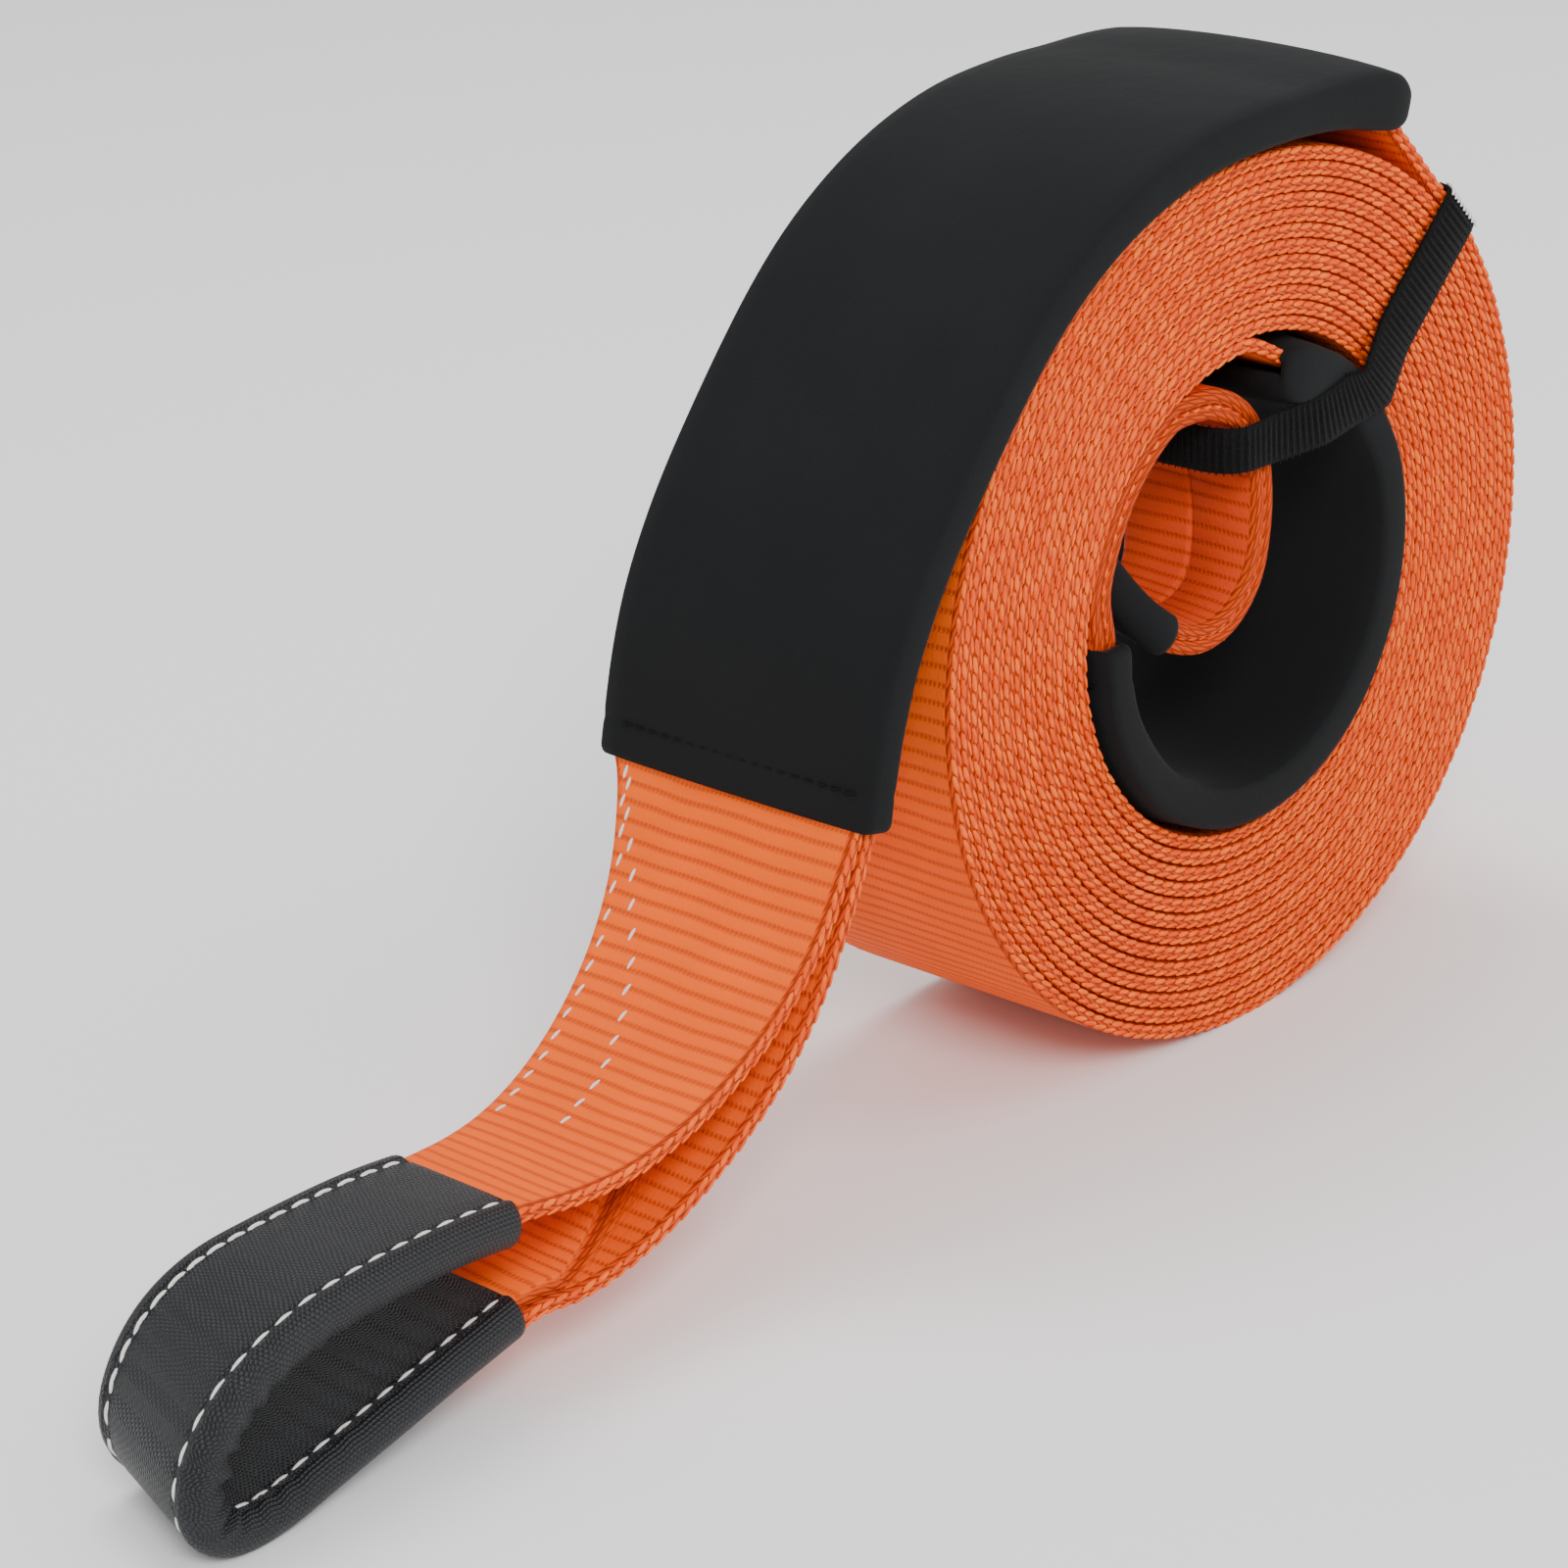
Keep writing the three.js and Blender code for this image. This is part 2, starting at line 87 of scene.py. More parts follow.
# Sleeves and covers
FIT_GAP = 0.3
SLEEVE_WALL = 2.4
SLEEVE_SIDE_WALL = 4.0
SLEEVE_HALF = PLY + FIT_GAP + SLEEVE_WALL
MOUTH_SWELL = 3.0
MOUTH_SWELL_LENGTH = 45.0
SLEEVE_LINING = 2.0
SLEEVE_POINTS = 40
HEM_SEAM = 8.5
HEM_GROOVE = 0.55
HEM_SQUEEZE = 1.1
HEM_ROUND = 2.2
HEM_THINNER = 0.9
HEM_NARROWER = 2.0
LIP_UNDER = 1.4
LIP_NARROWER = 2.4
OUTER_LIP = 11.0
INNER_LIP = 9.0
COVER_WALL = 0.9
COVER_SKIN = 0.8
COVER_HALF = PLY + FIT_GAP + COVER_WALL
COVER_SIDE = 1.8
COVER_WIDTH = EYE_WIDTH + 2 * COVER_SIDE
COVER_RIM = 5.2
COVER_ROWS = (-COVER_SIDE + COVER_RIM, COVER_WIDTH - COVER_SIDE - COVER_RIM - 0.8)
COVER_STEP = 1.2
COVER_LIP = 1.2
RIM_PUFF = 0.35
FACE_DROP = 0.25
ROW_DENT = 0.75
SIDE_ROUND = 0.8
WRINKLE_REACH = 42.0
WRINKLE_HEIGHT = 1.7
COVER_EDGE_X = -247
INNER_COVER_START = [-27, 105.4]

# Yarns and stitches
YARN_PITCH = 4.1
YARN_INSET = 0.4
YARN_ROW_HEIGHT = 0.88
YARN_LEAN = 0.24
YARN_TURN = 0.35
YARN_HIDDEN_X = -252
INNER_YARN_ROWS = ((-1, 0.75), (1, 0.3), (-1, -0.25), (1, -0.7))
STITCH_PITCH = 6.3
STITCH_START = 4.0
TAIL_STITCH_PITCH = 6.6
TAIL_STITCH_START = 3.0
TAIL_ROW_SHIFT = 2.5
TAIL_ROW_LENGTH = 96.0
HEM_STITCH_PITCH = 4.0
HEM_STITCH_REACH = 35.0

# Keeper band
BAND_DEG = 42.7
BAND_WIDTH = 16.0
BAND_THICKNESS = 1.4
BAND_CLEARANCE = 0.4
BAND_STAND = BAND_CLEARANCE + BAND_THICKNESS / 2
BAND_STEP = 0.95
BAND_CORNER = 2.2
RIB_LENGTHS = (12.6, 14.2, 16.4)
JOIN_STITCHES = 9
JOIN_REACH = 6.8
STRIP_SHARE = 0.93
RIB_STAND = 0.3
JOIN_STAND = 0.62


def smooth(t):
    """An even step from 0 to 1 that starts and ends level."""
    t = np.clip(t, 0.0, 1.0)
    return t * t * (3 - 2 * t)


def outer_ease(deg):
    """How far the roll's outside stands out where the tail leaves it."""
    away = (np.asarray(deg, float) - 47.0 + 180.0) % 360.0 - 180.0
    return 3.6 * np.exp(-((away / 32.0) ** 2))


def bore_ease(deg):
    """How far the bore is out of round."""
    return 0.7 + 2.4 * np.cos(np.radians(np.asarray(deg, float) - 100.0)) + outer_ease(deg) / 2


def spiral(laps, offset=0.0):
    """Points on the outer face of the webbing after so many laps, moved outwards by an offset."""
    laps = np.asarray(laps, float)
    deg = LEAVE_DEG - 360.0 * laps
    share = laps / LAPS
    ease = outer_ease(deg) * (1 - share) + bore_ease(deg) * share
    radius = ROLL_RADIUS - PLY * laps + ease + offset
    angle = np.radians(deg)
    return np.stack([radius * np.cos(angle), ROLL_HEIGHT + radius * np.sin(angle)], -1)


def on_roll(degs, offset):
    """Points outside the roll at given angles, an offset away from its outer turn."""
    return spiral((LEAVE_DEG + 360.0 - np.asarray(degs, float)) / 360.0, offset)


def bore_laps(degs):
    """The lap count of the innermost turn at given angles."""
    return LAPS - 1 + (90.0 - np.asarray(degs, float)) / 360.0


def in_bore(degs, offset):
    """Points in the bore at given angles, an offset away from the innermost turn."""
    return spiral(bore_laps(degs), -PLY - offset)


def between(t, low, high, start, end):
    """The value at t on the straight run from start, at low, to end, at high."""
    return ((high - t) * start + (t - low) * end) / (high - low)


def curve_through(points, step):
    """A centripetal curve through points, cut into equal steps."""
    pts = np.asarray(points, float)
    pts = np.vstack([2 * pts[0] - pts[1], pts, 2 * pts[-1] - pts[-2]])
    out = []
    for i in range(1, len(pts) - 2):
        p = pts[i - 1:i + 3]
        gaps = np.sqrt(np.linalg.norm(np.diff(p, axis=0), axis=1))
        knots = np.concatenate([[0.0], np.cumsum(gaps)])
        t = np.linspace(knots[1], knots[2], 24, endpoint=False)[:, None]
        a = [between(t, knots[j], knots[j + 1], p[j], p[j + 1]) for j in range(3)]
        b = [between(t, knots[j], knots[j + 2], a[j], a[j + 1]) for j in range(2)]
        out.append(between(t, knots[1], knots[2], b[0], b[1]))
    return resampled(np.vstack(out + [pts[-2:-1]]), step)


def distances(points):
    return np.concatenate([[0.0], np.cumsum(np.linalg.norm(np.diff(points, axis=0), axis=1))])


def resampled(points, step):
    s = distances(points)
    at = np.linspace(0.0, s[-1], max(2, int(round(s[-1] / step)) + 1))
    return np.stack([np.interp(at, s, points[:, k]) for k in range(points.shape[1])], -1)


def tangents(points):
    t = np.gradient(points, axis=0)
    return t / np.linalg.norm(t, axis=1)[:, None]


def beside(points, distance):
    """Points moved to the left of the way that they run, seen from -Y."""
    t = tangents(points)
    return points + distance * np.stack([-t[:, 1], t[:, 0]], -1)


def nearest(points, target):
    return int(np.argmin(np.linalg.norm(points - np.asarray(target), axis=1)))


class Path:
    """Stations along a strap: its near edge, its direction, the way across it and out of its face."""

    def __init__(self, points, near, width, lean_x=0.0, lean_z=0.0):
        count = len(points)
        self.points = np.asarray(points, float)
        self.s = distances(self.points)
        self.near = np.broadcast_to(near, count).astype(float)
        self.width = np.broadcast_to(width, count).astype(float)
        t = tangents(self.points)
        self.along = np.stack([t[:, 0], np.zeros(count), t[:, 1]], -1)
        lean_x = np.broadcast_to(lean_x, count)
        lean_z = np.broadcast_to(lean_z, count)
        self.across = np.stack([lean_x, np.ones(count), lean_z], -1)
        up = np.cross(self.along, self.across)
        self.up = up / np.linalg.norm(up, axis=1)[:, None]

    def place(self, index, a, h):
        """The point a millimetres in from the near edge and h out from the middle, at a station index."""
        i = np.asarray(index, float)
        low = np.clip(np.floor(i).astype(int), 0, len(self.points) - 2)
        f = (i - low)[..., None]

        def mix(values):
            return values[low] * (1 - f) + values[low + 1] * f

        near = mix(self.near[:, None])[..., 0]
        flat = mix(self.points)
        base = np.stack([flat[..., 0], near, flat[..., 1]], -1)
        return base + mix(self.across) * np.asarray(a)[..., None] + mix(self.up) * np.asarray(h)[..., None]

    def index_at(self, s):
        return np.interp(s, self.s, np.arange(len(self.s)))


def rings_on(path, sections):
    """Rings of points from each station's section, given as (a, h) pairs."""
    base = np.stack([path.points[:, 0], path.near, path.points[:, 1]], -1)[:, None, :]
    a = sections[..., 0][..., None]
    h = sections[..., 1][..., None]
    return base + path.across[:, None, :] * a + path.up[:, None, :] * h


def loft(name, rings, along, material, edge=None, loop=False):
    """A closed skin through rings. Its UV map is the distance along and round it, times UV_PER_MM."""
    count, points = rings.shape[:2]
    quads = []
    uvs = []
    closed = np.concatenate([rings, rings[:, :1]], 1)
    steps = np.linalg.norm(np.diff(closed, axis=1), axis=2)
    around = np.concatenate([np.zeros((count, 1)), np.cumsum(steps, 1)], 1)
    spans = count if loop else count - 1
    for i in range(spans):
        k = (i + 1) % count
        u0 = along[i]
        u1 = along[k] if k else along[i] + (along[1] - along[0])
        for j in range(points):
            m = (j + 1) % points
            quads.append((i * points + j, i * points + m, k * points + m, k * points + j))
            uvs += [(u0, around[i, j]), (u0, around[i, j + 1])]
            uvs += [(u1, around[k, j + 1]), (u1, around[k, j])]
    if not loop:
        quads.append(tuple(range(points))[::-1])
        quads.append(tuple((count - 1) * points + j for j in range(points)))
        uvs += [(along[0], around[0, j]) for j in range(points)][::-1]
        uvs += [(along[-1], around[-1, j]) for j in range(points)]
    mesh = bpy.data.meshes.new(name)
    mesh.from_pydata((rings.reshape(-1, 3) * MM).tolist(), [], quads)
    layer = mesh.uv_layers.new(name="UVMap")
    layer.data.foreach_set("uv", (np.asarray(uvs, float) * UV_PER_MM).ravel())
    if edge is not None:
        values = np.broadcast_to(edge, (count, points)).astype(float)
        mesh.attributes.new("edge", "FLOAT", "POINT").data.foreach_set("value", values.ravel())
    mesh.polygons.foreach_set("use_smooth", [True] * len(quads))
    mesh.update()
    piece = bpy.data.objects.new(name, mesh)
    bpy.context.scene.collection.objects.link(piece)
    piece.data.materials.append(material)
    face_outwards(piece)
    return piece


def face_outwards(piece):
    """Turns every face of a closed skin outwards when its volume comes out negative."""
    mesh = piece.data
    mesh.calc_loop_triangles()
    verts = np.empty(len(mesh.vertices) * 3)
    mesh.vertices.foreach_get("co", verts)
    tris = np.empty(len(mesh.loop_triangles) * 3, int)
    mesh.loop_triangles.foreach_get("vertices", tris)
    p = verts.reshape(-1, 3)[tris.reshape(-1, 3)]
    volume = np.einsum("ij,ij->i", p[:, 0], np.cross(p[:, 1], p[:, 2])).sum()
    if volume < 0:
        mesh.flip_normals()


def finished(piece, node):
    """Says which body the piece rides on and hides the solid that it replaces."""
    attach(piece, "root")
    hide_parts(node)
    return piece


# Shapes shared by the pieces

def outer_middle():
    """The outer sleeve's middle line, from its mouth, over the roll and down to its hem."""
    top = on_roll([88, 100, 112, 124, 135], FIT_GAP + SLEEVE_HALF)
    mouth = [[60, 215.5], [50, 218.4], [37, 220.6], [22, 221.7]]
    drop = [[-106, 159.8], [-117, 144.6], [-125.2, 130], [-130.2, 117], [-133.5, 105], [-136, 94]]
    return curve_through(np.vstack([mouth, top, drop]), 3.0)


def inner_middle():
    """The inner sleeve's middle line, round the bore from its mouth to its hem."""
    degs = np.array([78, 66, 54, 40, 20, 0, -22, -45, -68, -90, -112, -135, -158, -172, -184], float)
    swell = MOUTH_SWELL * smooth(1 - (78 - degs) / 44)
    points = np.vstack([in_bore([d], 2 * FIT_GAP + SLEEVE_HALF + w) for d, w in zip(degs, swell)])
    return curve_through(points, 3.0)


# The middle lines of the tail, the eye and the curl, as (x, z)
LOWER_LEG = [[-137.4, 86], [-142, 77], [-146.6, 69], [-151.6, 61.4], [-157, 54.6], [-163.5, 48],
             [-171, 41.8], [-179.5, 36.2], [-189, 31], [-199, 26.6], [-209, 23.3], [-219.5, 21.2],
             [-230, 20.6], [-242, 21.8]]
EYE = [[-261, 18.3], [-281, 13.6], [-301, 8.9], [-316, 5.4], [-325, 4.82], [-331, 6.3], [-335.2, 10.2],
       [-336.6, 15.2], [-335.6, 21], [-332, 27], [-325.5, 33.2], [-316.5, 38.2], [-304, 42], [-290, 43.6],
       [-275, 44], [-262, 43.7]]
UPPER_LEG = [[-250, 42.6], [-240, 41.2], [-230, 39.9], [-218, 39.4], [-207, 40.4], [-195, 43.2],
             [-183, 47.9], [-173, 53.3], [-164, 59.6], [-155.4, 67.6], [-148.6, 76], [-143.4, 84.6]]
EYE_TIP = [-336.6, 15.2]
HEM = [-136, 94]
CURL = [[-19.5, 159.3], [-8.5, 158.2], [0.7, 153.2], [6.6, 145], [8.9, 134], [8.4, 122.5], [5, 111.6],
        [-3, 104], [-13, 101.6], [-22, 103.6]]
INNER_EYE = [[-29.5, 107.6], [-35.6, 114.4], [-38.5, 124], [-36, 134], [-28.5, 141.4], [-18.5, 145.6]]


def leg_width(distance):
    """The width of a leg at a distance from its hem, folded down towards the eye."""
    share = np.clip(distance / TAPER_LENGTH, 0, 1) ** TAPER_POWER
    return WEB_WIDTH + (EYE_WIDTH - WEB_WIDTH) * share


def webbing_path():
    """The webbing's length, from the inner sleeve, out round the roll, to the cut end of the tail."""
    middle = inner_middle()
    ply = beside(middle, PLY / 2)
    ply = ply[distances(ply) > 8]
    degs = np.array([112, 104, 96, 89], float)
    before = spiral(LAPS + (90 - degs) / 360, -PLY / 2)
    tongue = curve_through(np.vstack([before, ply[::4]]), 3.0)[::-1]
    start = LAPS + (90 - 112) / 360
    wound = spiral(np.linspace(start, 0.0, int(start * STEPS_PER_LAP)), -PLY / 2)
    leave = spiral([0.045, 0.02, 0.0], -PLY / 2)
    x, z = leave[-1]
    slope = math.radians(LEAVE_DEG)
    climb = [[x - d * math.sin(slope), z + d * math.cos(slope)] for d in (12, 22, 31)]
    sleeve = outer_middle()
    sleeve = sleeve[sleeve[:, 0] < 34]
    under = beside(sleeve, PLY / 2)[::3]
    over = beside(sleeve, -PLY / 2)[::-1][::3]
    mouth = [[50.5, 216.2], [43, 218.2]]
    free = curve_through(np.vstack([leave, climb, mouth, under, LOWER_LEG, EYE, UPPER_LEG, over]), 2.5)
    free = free[nearest(free, leave[-1]) + 1:]
    points = np.vstack([tongue[:-1], wound, free])
    s = distances(points)
    tip = nearest(points, EYE_TIP)
    first = nearest(points[:tip], HEM)
    second = tip + nearest(points[tip:], HEM)
    width = leg_width(np.minimum(s - s[first], s[second] - s))
    lean = smooth(1 - np.abs(s - s[tip]) / EYE_LEAN_LENGTH)
    path = Path(points, NEAR, width, EYE_LEAN_X * lean, EYE_LEAN_Z * lean)
    path.tip = tip
    path.first_hem = first
    path.second_hem = second
    return path


def inner_tail_path():
    """The doubled inner end, from inside the inner sleeve, up the bore's wall and round the curl."""
    middle = inner_middle()
    tail = middle[distances(middle) > 60]
    wall = np.vstack([in_bore([d], FIT_GAP + PLY) for d in (-196, -208, -220, -232, -244)])
    points = curve_through(np.vstack([tail[::4], tail[-1:], wall, CURL, INNER_EYE]), 2.0)
    s = distances(points)
    hem = s[nearest(points, middle[-1])]
    cover = s[nearest(points, INNER_COVER_START)]
    width = leg_width(s - hem)
    back = INNER_LEG_SET_BACK * smooth((s - hem) / SET_BACK_LENGTH)
    back = back + INNER_EYE_SET_BACK * smooth((s - cover) / SET_BACK_LENGTH)
    lean = smooth((s - cover + 45) / INNER_LEAN_LENGTH) * smooth((s[-1] - s) / INNER_LEAN_LENGTH)
    path = Path(points, NEAR + back, width, INNER_LEAN_X * lean, INNER_LEAN_Z * lean)
    path.hem = hem
    path.cover = cover
    return path


def arc(centre_a, centre_h, radius_a, radius_h, start, end, count):
    angle = np.radians(np.linspace(start, end, count))
    return np.stack([centre_a + radius_a * np.cos(angle), centre_h + radius_h * np.sin(angle)], -1)


def webbing_sections(path):
    """Sections of one ply with round edges. A leg's spare width is folded in under its far side."""
    sections = []
    edges = []
    for width in path.width:
        thick = PLY * WEB_WIDTH / width
        spare = WEB_WIDTH - width
        flap = float(smooth(spare / FOLD_START))
        top = min(thick, 2 * PLY) / 2 - (PLY - PLY_SOLID) / 2
        low = top - PLY_SOLID
        under = low - PLY_SOLID * flap
        mid = (top + low) / 2
        fold_round = EDGE_ROUND + FOLD_SWELL * flap
        near = arc(EDGE_ROUND, mid, EDGE_ROUND, PLY_SOLID / 2, 270, 90, 7)
        across = np.linspace(EDGE_ROUND + FACE_INSET, width - fold_round - FACE_INSET, 5)
        face = np.stack([across, np.full(5, top)], -1)
        far = arc(width - fold_round, (top + under) / 2, fold_round, (top - under) / 2, 90, -90, 7)
        free = max(width - spare, 1.6) if spare > 0 else width - fold_round - 1.0
        free = min(free, width - fold_round - 1.0)
        flat = np.stack([np.linspace(width - fold_round, free + 0.9, 4)[1:], np.full(3, under)], -1)
        lip = np.array([[free + 0.1, (under + low) / 2], [free, low]])
        back = np.stack([np.linspace(free, EDGE_ROUND + FACE_INSET, 3)[1:], np.full(2, low)], -1)
        sections.append(np.vstack([near, face, far, flat, lip, back]))
        edges.append([1.0] * 7 + [0.0] * 5 + [1.0 - flap] * 7 + [0.0] * 3 + [flap] * 2 + [0.0] * 2)
    return np.asarray(sections), np.asarray(edges)


# Materials

class Nodes:
    """A short way to write a material's node tree as sums."""

    def __init__(self, name):
        self.material = bpy.data.materials.new(name)
        self.material.use_nodes = True
        self.tree = self.material.node_tree
        self.tree.nodes.clear()
        self.shader = self.new("ShaderNodeBsdfPrincipled")
        out = self.new("ShaderNodeOutputMaterial")
        self.tree.links.new(self.shader.outputs[0], out.inputs[0])

    def new(self, kind, **values):
        return node_in(self.tree, kind, **values)

    def put(self, socket, value):
        if isinstance(value, bpy.types.NodeSocket):
            self.tree.links.new(value, socket)
        elif value is not None:
            socket.default_value = value

    def math(self, operation, *values):
        node = self.new("ShaderNodeMath", operation=operation)
        for socket, value in zip(node.inputs, values):
            self.put(socket, value)
        return node.outputs[0]

    def add(self, a, b):
        return self.math("ADD", a, b)

    def sub(self, a, b):
        return self.math("SUBTRACT", a, b)

    def mul(self, a, b):
        return self.math("MULTIPLY", a, b)

    def frac(self, a):
        return self.math("FRACT", a)

    def hump(self, phase):
        """1 in the middle of a cell and 0 at its ends."""
        centred = self.sub(self.mul(phase, 2.0), 1.0)
        return self.sub(1.0, self.mul(centred, centred))

    def ramp(self, value, low, high):
        node = self.new("ShaderNodeMapRange", interpolation_type="SMOOTHSTEP")
        for socket, given in zip(node.inputs, (value, low, high, 0.0, 1.0)):
            self.put(socket, given)
        return node.outputs[0]

    def mix(self, share, a, b):
        node = self.new("ShaderNodeMix", data_type="RGBA")
        self.put(node.inputs[0], share)
        self.put(node.inputs[6], a)
        self.put(node.inputs[7], b)
        return node.outputs[2]

    def mottled(self, value, low, high, colour, dark, light):
        """A colour that goes from a dark to a light share of itself as the value goes from low to high."""
        return self.mix(self.ramp(value, low, high), tint(colour, dark), tint(colour, light))

    def blend(self, share, a, b):
        return self.add(self.mul(a, self.sub(1.0, share)), self.mul(b, share))

    def uv(self):
        """The UV map in millimetres along the piece and round it."""
        split = self.new("ShaderNodeSeparateXYZ")
        self.put(split.inputs[0], self.new("ShaderNodeTexCoord").outputs["UV"])
        return self.mul(split.outputs[0], 1 / UV_PER_MM), self.mul(split.outputs[1], 1 / UV_PER_MM)

    def place(self, u, v):
        join = self.new("ShaderNodeCombineXYZ")
        self.put(join.inputs[0], u)
        self.put(join.inputs[1], v)
        return join.outputs[0]

    def noise(self, vector, scale, detail=2.0):
        node = self.new("ShaderNodeTexNoise")
        self.put(node.inputs["Vector"], vector)
        node.inputs["Scale"].default_value = scale
        node.inputs["Detail"].default_value = detail
        return node.outputs[0]

    def object_place(self):
        return self.new("ShaderNodeTexCoord").outputs["Object"]

    def bump(self, height, distance, strength=1.0, under=None):
        node = self.new("ShaderNodeBump")
        node.inputs["Strength"].default_value = strength
        node.inputs["Distance"].default_value = distance
        self.put(node.inputs["Height"], height)
        if under is not None:
            self.put(node.inputs["Normal"], under)
        return node.outputs[0]


def shade(n, colour, roughness, normal, sheen=0.0, specular=0.3):
    n.put(n.shader.inputs["Base Color"], colour)
    n.put(n.shader.inputs["Roughness"], roughness)
    n.put(n.shader.inputs["Normal"], normal)
    n.shader.inputs["Sheen Weight"].default_value = sheen
    n.shader.inputs["Sheen Roughness"].default_value = 0.4
    n.shader.inputs["Specular IOR Level"].default_value = specular


def tint(colour, share):
    return [c * share for c in colour[:3]] + [1.0]


def webbing_material(name, settings, main_colour):
    """Ribbed webbing: broad cross ribs with rows of small yarn ticks between them, and braided edges. The
    rib valleys and the gaps of the ticks are darkened as painted shade. The braided edges take the
    painted-shade colour, darkest in the gaps between beads and less dark on their crests.
    """
    n = Nodes(name)
    u, v = n.uv()
    pitch = settings.rib_pitch / MM
    drift = n.mul(n.noise(n.place(n.mul(u, 0.02), n.mul(v, 0.03)), 1.0), 0.55)
    rib = n.frac(n.add(n.mul(u, 1 / pitch), drift))
    crest = n.math("POWER", n.hump(rib), 0.7)
    valley = n.sub(1.0, n.ramp(crest, 0.3, 0.95))
    yarn = n.frac(n.add(n.mul(v, 1 / 1.3), n.mul(n.sub(rib, 0.5), 1.1)))
    tick = n.mul(n.ramp(n.hump(yarn), 0.3, 0.9), n.ramp(valley, 0.3, 0.8))
    fine = n.noise(n.place(n.mul(u, 0.5), n.mul(v, 3.0)), 1.0, 3.0)
    flat_height = n.add(n.sub(n.mul(crest, 0.7), n.mul(tick, 0.25)), n.mul(fine, 0.25))
    strand = n.frac(n.add(n.mul(u, 1 / 4.4), n.mul(v, 0.42)))
    side = n.frac(n.add(n.mul(v, 1 / 1.7), n.mul(strand, 0.35)))
    edge_height = n.add(n.mul(n.hump(strand), n.hump(side)), n.mul(fine, 0.25))
    edge = n.new("ShaderNodeAttribute", attribute_name="edge").outputs["Fac"]
    height = n.blend(edge, flat_height, n.mul(edge_height, 0.8))
    blotch = n.noise(n.object_place(), 38.0, 3.0)
    light = n.mottled(blotch, 0.35, 0.7, main_colour, 0.93, 1.0)
    # Painted shade: the rib valleys are darkened towards the painted-shade colour.
    ribbed = n.mix(n.mul(valley, 0.34), light, tint(settings.webbing_painted_shade_and_dark_yarn, 1.0))
    # Painted shade: the gaps of the yarn ticks in the valleys are darkened further.
    tick_painted_shade = n.mix(n.mul(tick, 0.42), ribbed, tint(settings.webbing_painted_shade_and_dark_yarn, 0.75))
    # Painted shade on the braided edges: darkest in the gaps between beads, less dark on their crests.
    braid_painted_shade = n.mottled(edge_height, 0.05, 0.75, settings.webbing_painted_shade_and_dark_yarn, 0.42, 0.9)
    colour = n.mix(edge, tick_painted_shade, braid_painted_shade)
    shade(n, colour, roughness=0.72, normal=n.bump(height, 0.0006), specular=0.16)
    return n.material


def strand_material(name, settings):
    """The looped yarns that show along the webbing's edges."""
    n = Nodes(name)
    place = n.object_place()
    light = n.ramp(n.noise(place, 260.0, 2.0), 0.3, 0.75)
    colour = n.mix(light, tint(settings.webbing_painted_shade_and_dark_yarn, 1.15), tint(settings.strand_colour, 1.0))
    normal = n.bump(n.noise(place, 1600.0, 2.0), 0.0002)
    shade(n, colour, roughness=0.62, normal=normal, specular=0.2)
    return n.material


def sleeve_material(name, settings):
    """Soft foam-backed knit, nearly smooth."""
    n = Nodes(name)
    place = n.object_place()
    grain = n.noise(place, 2400.0, 2.0)
    wear = n.noise(place, 22.0, 4.0)
    colour = n.mottled(wear, 0.3, 0.75, settings.sleeve_colour, 0.86, 1.12)
    colour = n.mix(n.mul(n.ramp(grain, 0.4, 0.7), 0.35), colour, tint(settings.sleeve_colour, 1.5))
    height = n.add(n.mul(grain, 0.25), n.mul(n.noise(place, 90.0, 3.0), 0.9))
    shade(n, colour, roughness=0.85, normal=n.bump(height, 0.0003), sheen=0.02, specular=0.16)
    return n.material


def cover_material(name, settings):
    """Close woven nylon: fine yarns crossing, with a slight gloss. The yarns' crowns are painted lighter and
    the gaps between them darker, as painted sheen and shade, and the raised parts of the creases are painted
    lighter as painted highlight.
    """
    n = Nodes(name)
    u, v = n.uv()
    du = n.mul(u, 1 / 1.15)
    dv = n.mul(v, 1 / 1.0)
    row = n.math("FLOOR", dv)
    shift = n.frac(n.mul(row, 0.5))
    warp = n.hump(n.frac(n.add(du, shift)))
    weft = n.hump(n.frac(dv))
    weave = n.mul(n.math("POWER", warp, 0.6), n.math("POWER", weft, 0.6))
    place = n.object_place()
    crease = n.noise(place, 75.0, 3.0)
    # Painted sheen and shade: the weave's crowns lighter, the gaps between yarns darker.
    colour = n.mottled(weave, 0.1, 0.8, settings.cover_colour, 0.3, 1.7)
    # Painted highlight: the raised parts of the creases lighter.
    colour = n.mix(n.mul(n.ramp(crease, 0.35, 0.8), 0.3), colour, tint(settings.cover_colour, 1.5))
    normal = n.bump(crease, 0.0011, 0.8, under=n.bump(weave, 0.00045))
    shade(n, colour, roughness=0.42, normal=normal, specular=0.38)
    return n.material


def elastic_material(name, settings):
    """Dull black elastic with a fine fuzz. Its ribs are separate small pieces."""
    n = Nodes(name)
    place = n.object_place()
    fuzz = n.noise(place, 1800.0, 2.0)
    colour = n.mottled(fuzz, 0.35, 0.75, settings.band_colour, 0.7, 1.6)
    shade(n, colour, roughness=0.88, normal=n.bump(fuzz, 0.0003), sheen=0.02, specular=0.14)
    return n.material


def thread_material(name, colour):
    """Sewing thread with a slight twist in its shade."""
    n = Nodes(name)
    place = n.object_place()
    twist = n.noise(place, 1500.0, 1.0)
    mixed = n.mottled(twist, 0.3, 0.7, colour, 0.82, 1.0)
    shade(n, mixed, roughness=0.7, normal=n.bump(twist, 0.00015), specular=0.15)
    return n.material


def material_for(name, make, *given):
    """The named material, made at its first use."""
    return bpy.data.materials.get(name) or make(name, *given)


# Repeated small pieces, placed by geometry nodes on points that hold a direction and a face normal

def node_in(tree, kind, **values):
    """A new node in a tree, with its own settings."""
    node = tree.nodes.new(kind)
    for key, value in values.items():
        setattr(node, key, value)
    return node


